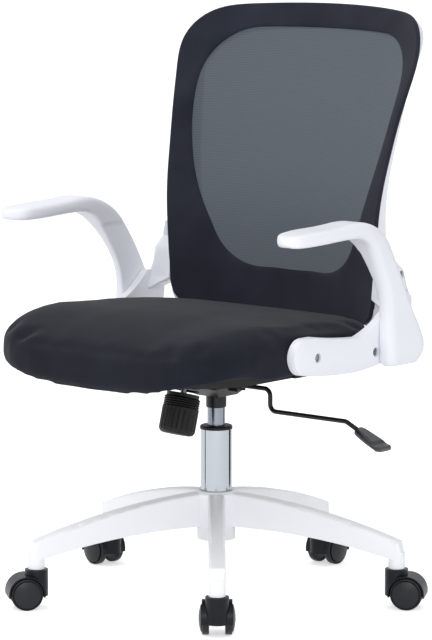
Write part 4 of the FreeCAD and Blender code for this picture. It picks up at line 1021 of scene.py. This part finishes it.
@dataclass
class TiltSpring:
    """Spring under the seat and the knob that sets it, on one leaning axis."""

    chair: Chair
    knob_r: float = 28.5
    knob_l: float = 58.0
    wall: float = 4.5
    floor: float = 12.0
    boss_r: float = 9.0
    bore: float = 5.05
    flutes: int = 20
    flute: float = 1.5
    ridge_pitch: float = 3.5
    spring_r: float = 21.5
    wire: float = 4.0
    wire_steps: int = 18
    lead: tuple = (0.123, 0.456, 0.881)
    turns: int = 5
    spring_start: float = 66.0
    spring_l: float = 32.8
    gap: float = 0.3
    keep: float = 0.54

    def knob(self) -> Object:
        """Turns the knob: r = profile - flute * (1 - |sin(flutes * angle / 2)|)^2 on the grip, under rings at the top.

        Returns:
            The knob.
        """
        origin, axis = self.chair.joint("tension_turn")
        r, length, hollow = self.knob_r, self.knob_l, self.knob_r - self.wall
        quarter = np.linspace(0.0, 0.5 * math.pi, 9)
        edge = np.stack([r - 8.0 + 8.0 * np.sin(quarter), 9.0 - 9.0 * np.cos(quarter)], axis=1)
        grip = np.stack([np.full(14, r), np.linspace(10.0, 42.0, 14)], axis=1)
        climb = np.linspace(43.5, length - 0.6, 49)
        ridge = np.stack([r - 0.8 - 0.8 * np.cos(TURN * (climb - climb[0]) / self.ridge_pitch), climb], axis=1)
        dish = [(0.0, 0.6), (9.0, 0.5), (10.0, 0.0), (16.0, 0.0)]
        inside = [(r - 2.2, length), (hollow, length), (hollow, self.floor), (self.boss_r, self.floor),
                  (self.boss_r, length), (self.bore, length), (self.bore, 6.2), (0.0, 6.2)]
        profile = np.concatenate([dish, edge, grip, ridge, inside])
        steps = 240
        angle = np.arange(steps) * TURN / steps
        wave = (1.0 - np.abs(np.sin(0.5 * self.flutes * angle))) ** 2
        along = np.interp(profile[:, 1], (2.5, 9.0, 40.5, 43.0), (0.0, 1.0, 1.0, 0.0)) * (profile[:, 0] > hollow + 1.0)
        return turned("tension_knob_grip", profile, origin, axis, steps, -self.flute * along[:, None] * wave)

    def coil(self) -> Object:
        """Winds the spring: a circle carried along a helix round the knob's axis, square to it, with closed ends.

        Returns:
            The spring.
        """
        origin, axis = self.chair.joint("tension_turn")
        side = np.array((1.0, 0.0, 0.0))
        up = np.cross(axis, side)
        share = np.linspace(0.0, 1.0, 60 * self.turns + 1)
        angle = TURN * self.turns * share
        rise = self.spring_start + 0.5 * self.wire + self.gap + (self.spring_l - self.wire - 2.0 * self.gap) * share
        path = (origin + rise[:, None] * axis
                + self.spring_r * (np.cos(angle)[:, None] * side + np.sin(angle)[:, None] * up))
        tangent = np.roll(path, -1, axis=0) - np.roll(path, 1, axis=0)
        tangent[0], tangent[-1] = path[1] - path[0], path[-1] - path[-2]
        tangent /= np.linalg.norm(tangent, axis=1)[:, None]
        side = np.cross(tangent, np.array(self.lead))
        side /= np.linalg.norm(side, axis=1)[:, None]
        up = np.cross(tangent, side)
        angle = np.arange(self.wire_steps) * TURN / self.wire_steps
        circle = np.cos(angle)[None, :, None] * side[:, None] + np.sin(angle)[None, :, None] * up[:, None]
        ends = [np.repeat(path[k:k + 1, None], self.wire_steps, axis=1) for k in (0, len(path) - 1)]
        rings = [ends[0], path[:, None] + 0.5 * self.wire * circle, ends[1]]
        return surface("tension_spring_coil", np.concatenate(rings), around=True)

    def build(self) -> None:
        """Makes the knob and the spring and dresses the cup and the bolt."""
        self.chair.place(self.knob(), GRAINED_PLASTIC, "tension_knob")
        spring = self.chair.place(self.coil(), SPRING_WIRE, "tension_spring")
        origin, axis = self.chair.joint("tension_turn")
        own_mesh(spring)
        self.chair.dress(POWDER_COAT, "spring_cup")
        self.chair.dress(GROUND_STEEL, "tension_bolt")


@dataclass
class Studio:
    """Camera at the photograph's viewing angle, a pale floor and soft light."""

    heading: float = 40.240
    distance: float = 5800.0
    eye: float = 1265.8
    pitch: float = 8.136
    focal_px: float = 3766.4
    long_px: int = 640
    shift_px: float = 0.26
    ambient: float = 0.74
    floor_half: float = 14000.0
    floor_lift: float = 0.5
    card_reach: float = 900.0
    card_h: float = 900.0

    def hang(self, data: ID, place: tuple, ahead: Vector) -> Object:
        """Puts a camera or a light in its place.

        Args:
            data: the camera or light.
            place: where it hangs, in metres.
            ahead: direction that it faces.

        Returns:
            The object.
        """
        hung = bpy.data.objects.new(data.name, data)
        hung.location = place
        hung.rotation_mode = "QUATERNION"
        hung.rotation_quaternion = ahead.to_track_quat("-Z", "Y")
        bpy.context.scene.collection.objects.link(hung)
        return hung

    def camera(self) -> None:
        """Places the camera, whose sensor width is that of the image's long side."""
        data = bpy.data.cameras.new("view")
        data.sensor_width = 36.0
        data.lens = self.focal_px * data.sensor_width / self.long_px
        data.shift_x = -self.shift_px / self.long_px
        data.clip_end = 100.0
        a, p = math.radians(self.heading), math.radians(self.pitch)
        place = (math.sin(a) * self.distance * MM, -math.cos(a) * self.distance * MM, self.eye * MM)
        ahead = Vector((-math.sin(a) * math.cos(p), math.cos(a) * math.cos(p), -math.sin(p)))
        bpy.context.scene.camera = self.hang(data, place, ahead)

    def lamp(self, name: str, place: tuple, size: float, power: float) -> None:
        """Hangs a square soft light that points at the chair.

        Args:
            name: name of the light.
            place: where it hangs, in metres.
            size: its side, in metres.
            power: in watts.
        """
        data = bpy.data.lights.new(name, "AREA")
        data.size = size
        data.energy = power
        self.hang(data, place, Vector((0.0, 0.0, 0.5)) - Vector(place))

    def surroundings(self) -> None:
        """Gives even light from all round, and plain white to the camera, to gloss and through the mesh."""
        world = bpy.data.worlds.new("studio")
        world.use_nodes = True
        bpy.context.scene.world = world
        tree = world.node_tree
        tree.nodes.clear()
        seen = add_node(tree, "LightPath").outputs
        shown = add_node(tree, "Math", {0: seen["Is Camera Ray"], 1: seen["Is Glossy Ray"]}, operation="MAXIMUM")
        shown = add_node(tree, "Math", {0: shown.outputs[0], 1: seen["Is Transmission Ray"]}, operation="MAXIMUM")
        light = add_node(tree, "Background", {"Color": linear("#ffffff"), "Strength": self.ambient})
        white = add_node(tree, "Background", {"Color": linear("#ffffff"), "Strength": 1.0})
        both = add_node(tree, "MixShader", {0: shown.outputs[0], 1: light.outputs[0], 2: white.outputs[0]})
        add_node(tree, "OutputWorld", {"Surface": both.outputs[0]})

    def floor(self) -> None:
        """Lays a pale floor that takes the chair's soft shadow."""
        edge = np.array((-self.floor_half, self.floor_half))
        x, y = np.meshgrid(edge, edge, indexing="ij")
        floor = surface("studio_floor", np.stack([y, x, np.zeros_like(x)], axis=-1))
        floor.data.flip_normals()
        paint = Finish("studio_floor_paint", "#fbfbfc", 0.9).material()
        tree = paint.node_tree
        seen = add_node(tree, "LightPath").outputs
        shown = add_node(tree, "Math", {0: seen["Is Camera Ray"], 1: seen["Is Glossy Ray"]}, operation="MAXIMUM")
        lift = add_node(tree, "Math", {0: shown.outputs[0], 1: self.floor_lift}, operation="MULTIPLY")
        glow = add_node(tree, "Emission", {"Strength": lift.outputs[0]})
        both = add_node(tree, "AddShader", {0: tree.nodes["Principled BSDF"].outputs[0], 1: glow.outputs[0]})
        feed(tree, tree.nodes["Material Output"], {"Surface": both.outputs[0]})
        floor.data.materials.append(paint)

    def flag(self, name: str, degrees: float, half: float) -> None:
        """Stands a dark card beside the chair, seen only in reflections, so that bright metal shows its roundness.

        Args:
            name: name of the card.
            degrees: its direction from the camera's, round the chair.
            half: half its width.
        """
        a = math.radians(self.heading + degrees)
        out, side = np.array((math.sin(a), -math.cos(a), 0.0)), np.array((math.cos(a), math.sin(a), 0.0))
        across, up = np.meshgrid(np.array((-half, half)), np.array((0.0, self.card_h)), indexing="ij")
        points = self.card_reach * out + across[:, :, None] * side + up[:, :, None] * np.array((0.0, 0.0, 1.0))
        card = surface(name, points)
        card.data.materials.append(Finish("studio_card", "#1c1d20", 0.9).material())
        card.visible_camera = card.visible_diffuse = card.visible_shadow = card.visible_transmission = False

    def build(self) -> None:
        """Sets up the whole studio."""
        bpy.context.scene.view_settings.view_transform = "Standard"
        self.camera()
        self.surroundings()
        self.floor()
        self.flag("studio_card_left", -86.0, 60.0)
        self.flag("studio_card_right", 114.0, 170.0)
        self.lamp("over", (-0.6, -0.9, 3.0), 2.4, 24.0)
        self.lamp("left", (-2.6, -2.4, 1.6), 1.8, 13.0)
        self.lamp("right", (3.2, -0.6, 1.8), 1.6, 5.0)
        self.lamp("front", (2.3, -2.75, 1.6), 1.4, 34.0)


def main() -> None:
    """Loads the frame, builds each sub-assembly in order and dresses the other nodes, logging each piece's face count.
    """
    logging.basicConfig(level=logging.INFO, format="%(name)s %(message)s")
    chair = Chair(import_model())
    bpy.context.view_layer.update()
    Studio().build()
    back = Back(chair)
    for assembly in (back, Seat(chair, back), Casters(chair), TiltSpring(chair)):
        assembly.build()
    # The base's nylon is painted lighter than the arms': painted light for its shade under the seat.
    chair.dress(BASE_NYLON_PAINTED_LIGHT, "base_star")
    chair.mould(WHITE_NYLON, 2.0, 50, "arm_left", "arm_right")
    chair.dress(WHITE_NYLON, "bracket_left", "bracket_right")
    chair.dress(CHROME, "column_tube")
    chair.dress(GROUND_STEEL, "gas_cylinder", "piston_rod", "thrust_bearing", "retaining_clip", "release_pin",
                "tilt_pivot_pin", "seat_bolts", "bracket_bolts", "arm_pivot_left", "arm_pivot_right")
    # The paddle's colour holds a painted highlight: it is a little lighter than the other black plastics.
    chair.dress(PADDLE_ABS_PAINTED_HIGHLIGHT, "lever_paddle")
    chair.dress(GRAINED_PLASTIC, "guide_bush", "lever_bush", "seat_board")
    chair.dress(POWDER_COAT, "taper_socket", "tilt_housing", "seat_plate", "lever_rod")


if __name__ == "__main__":
    main()
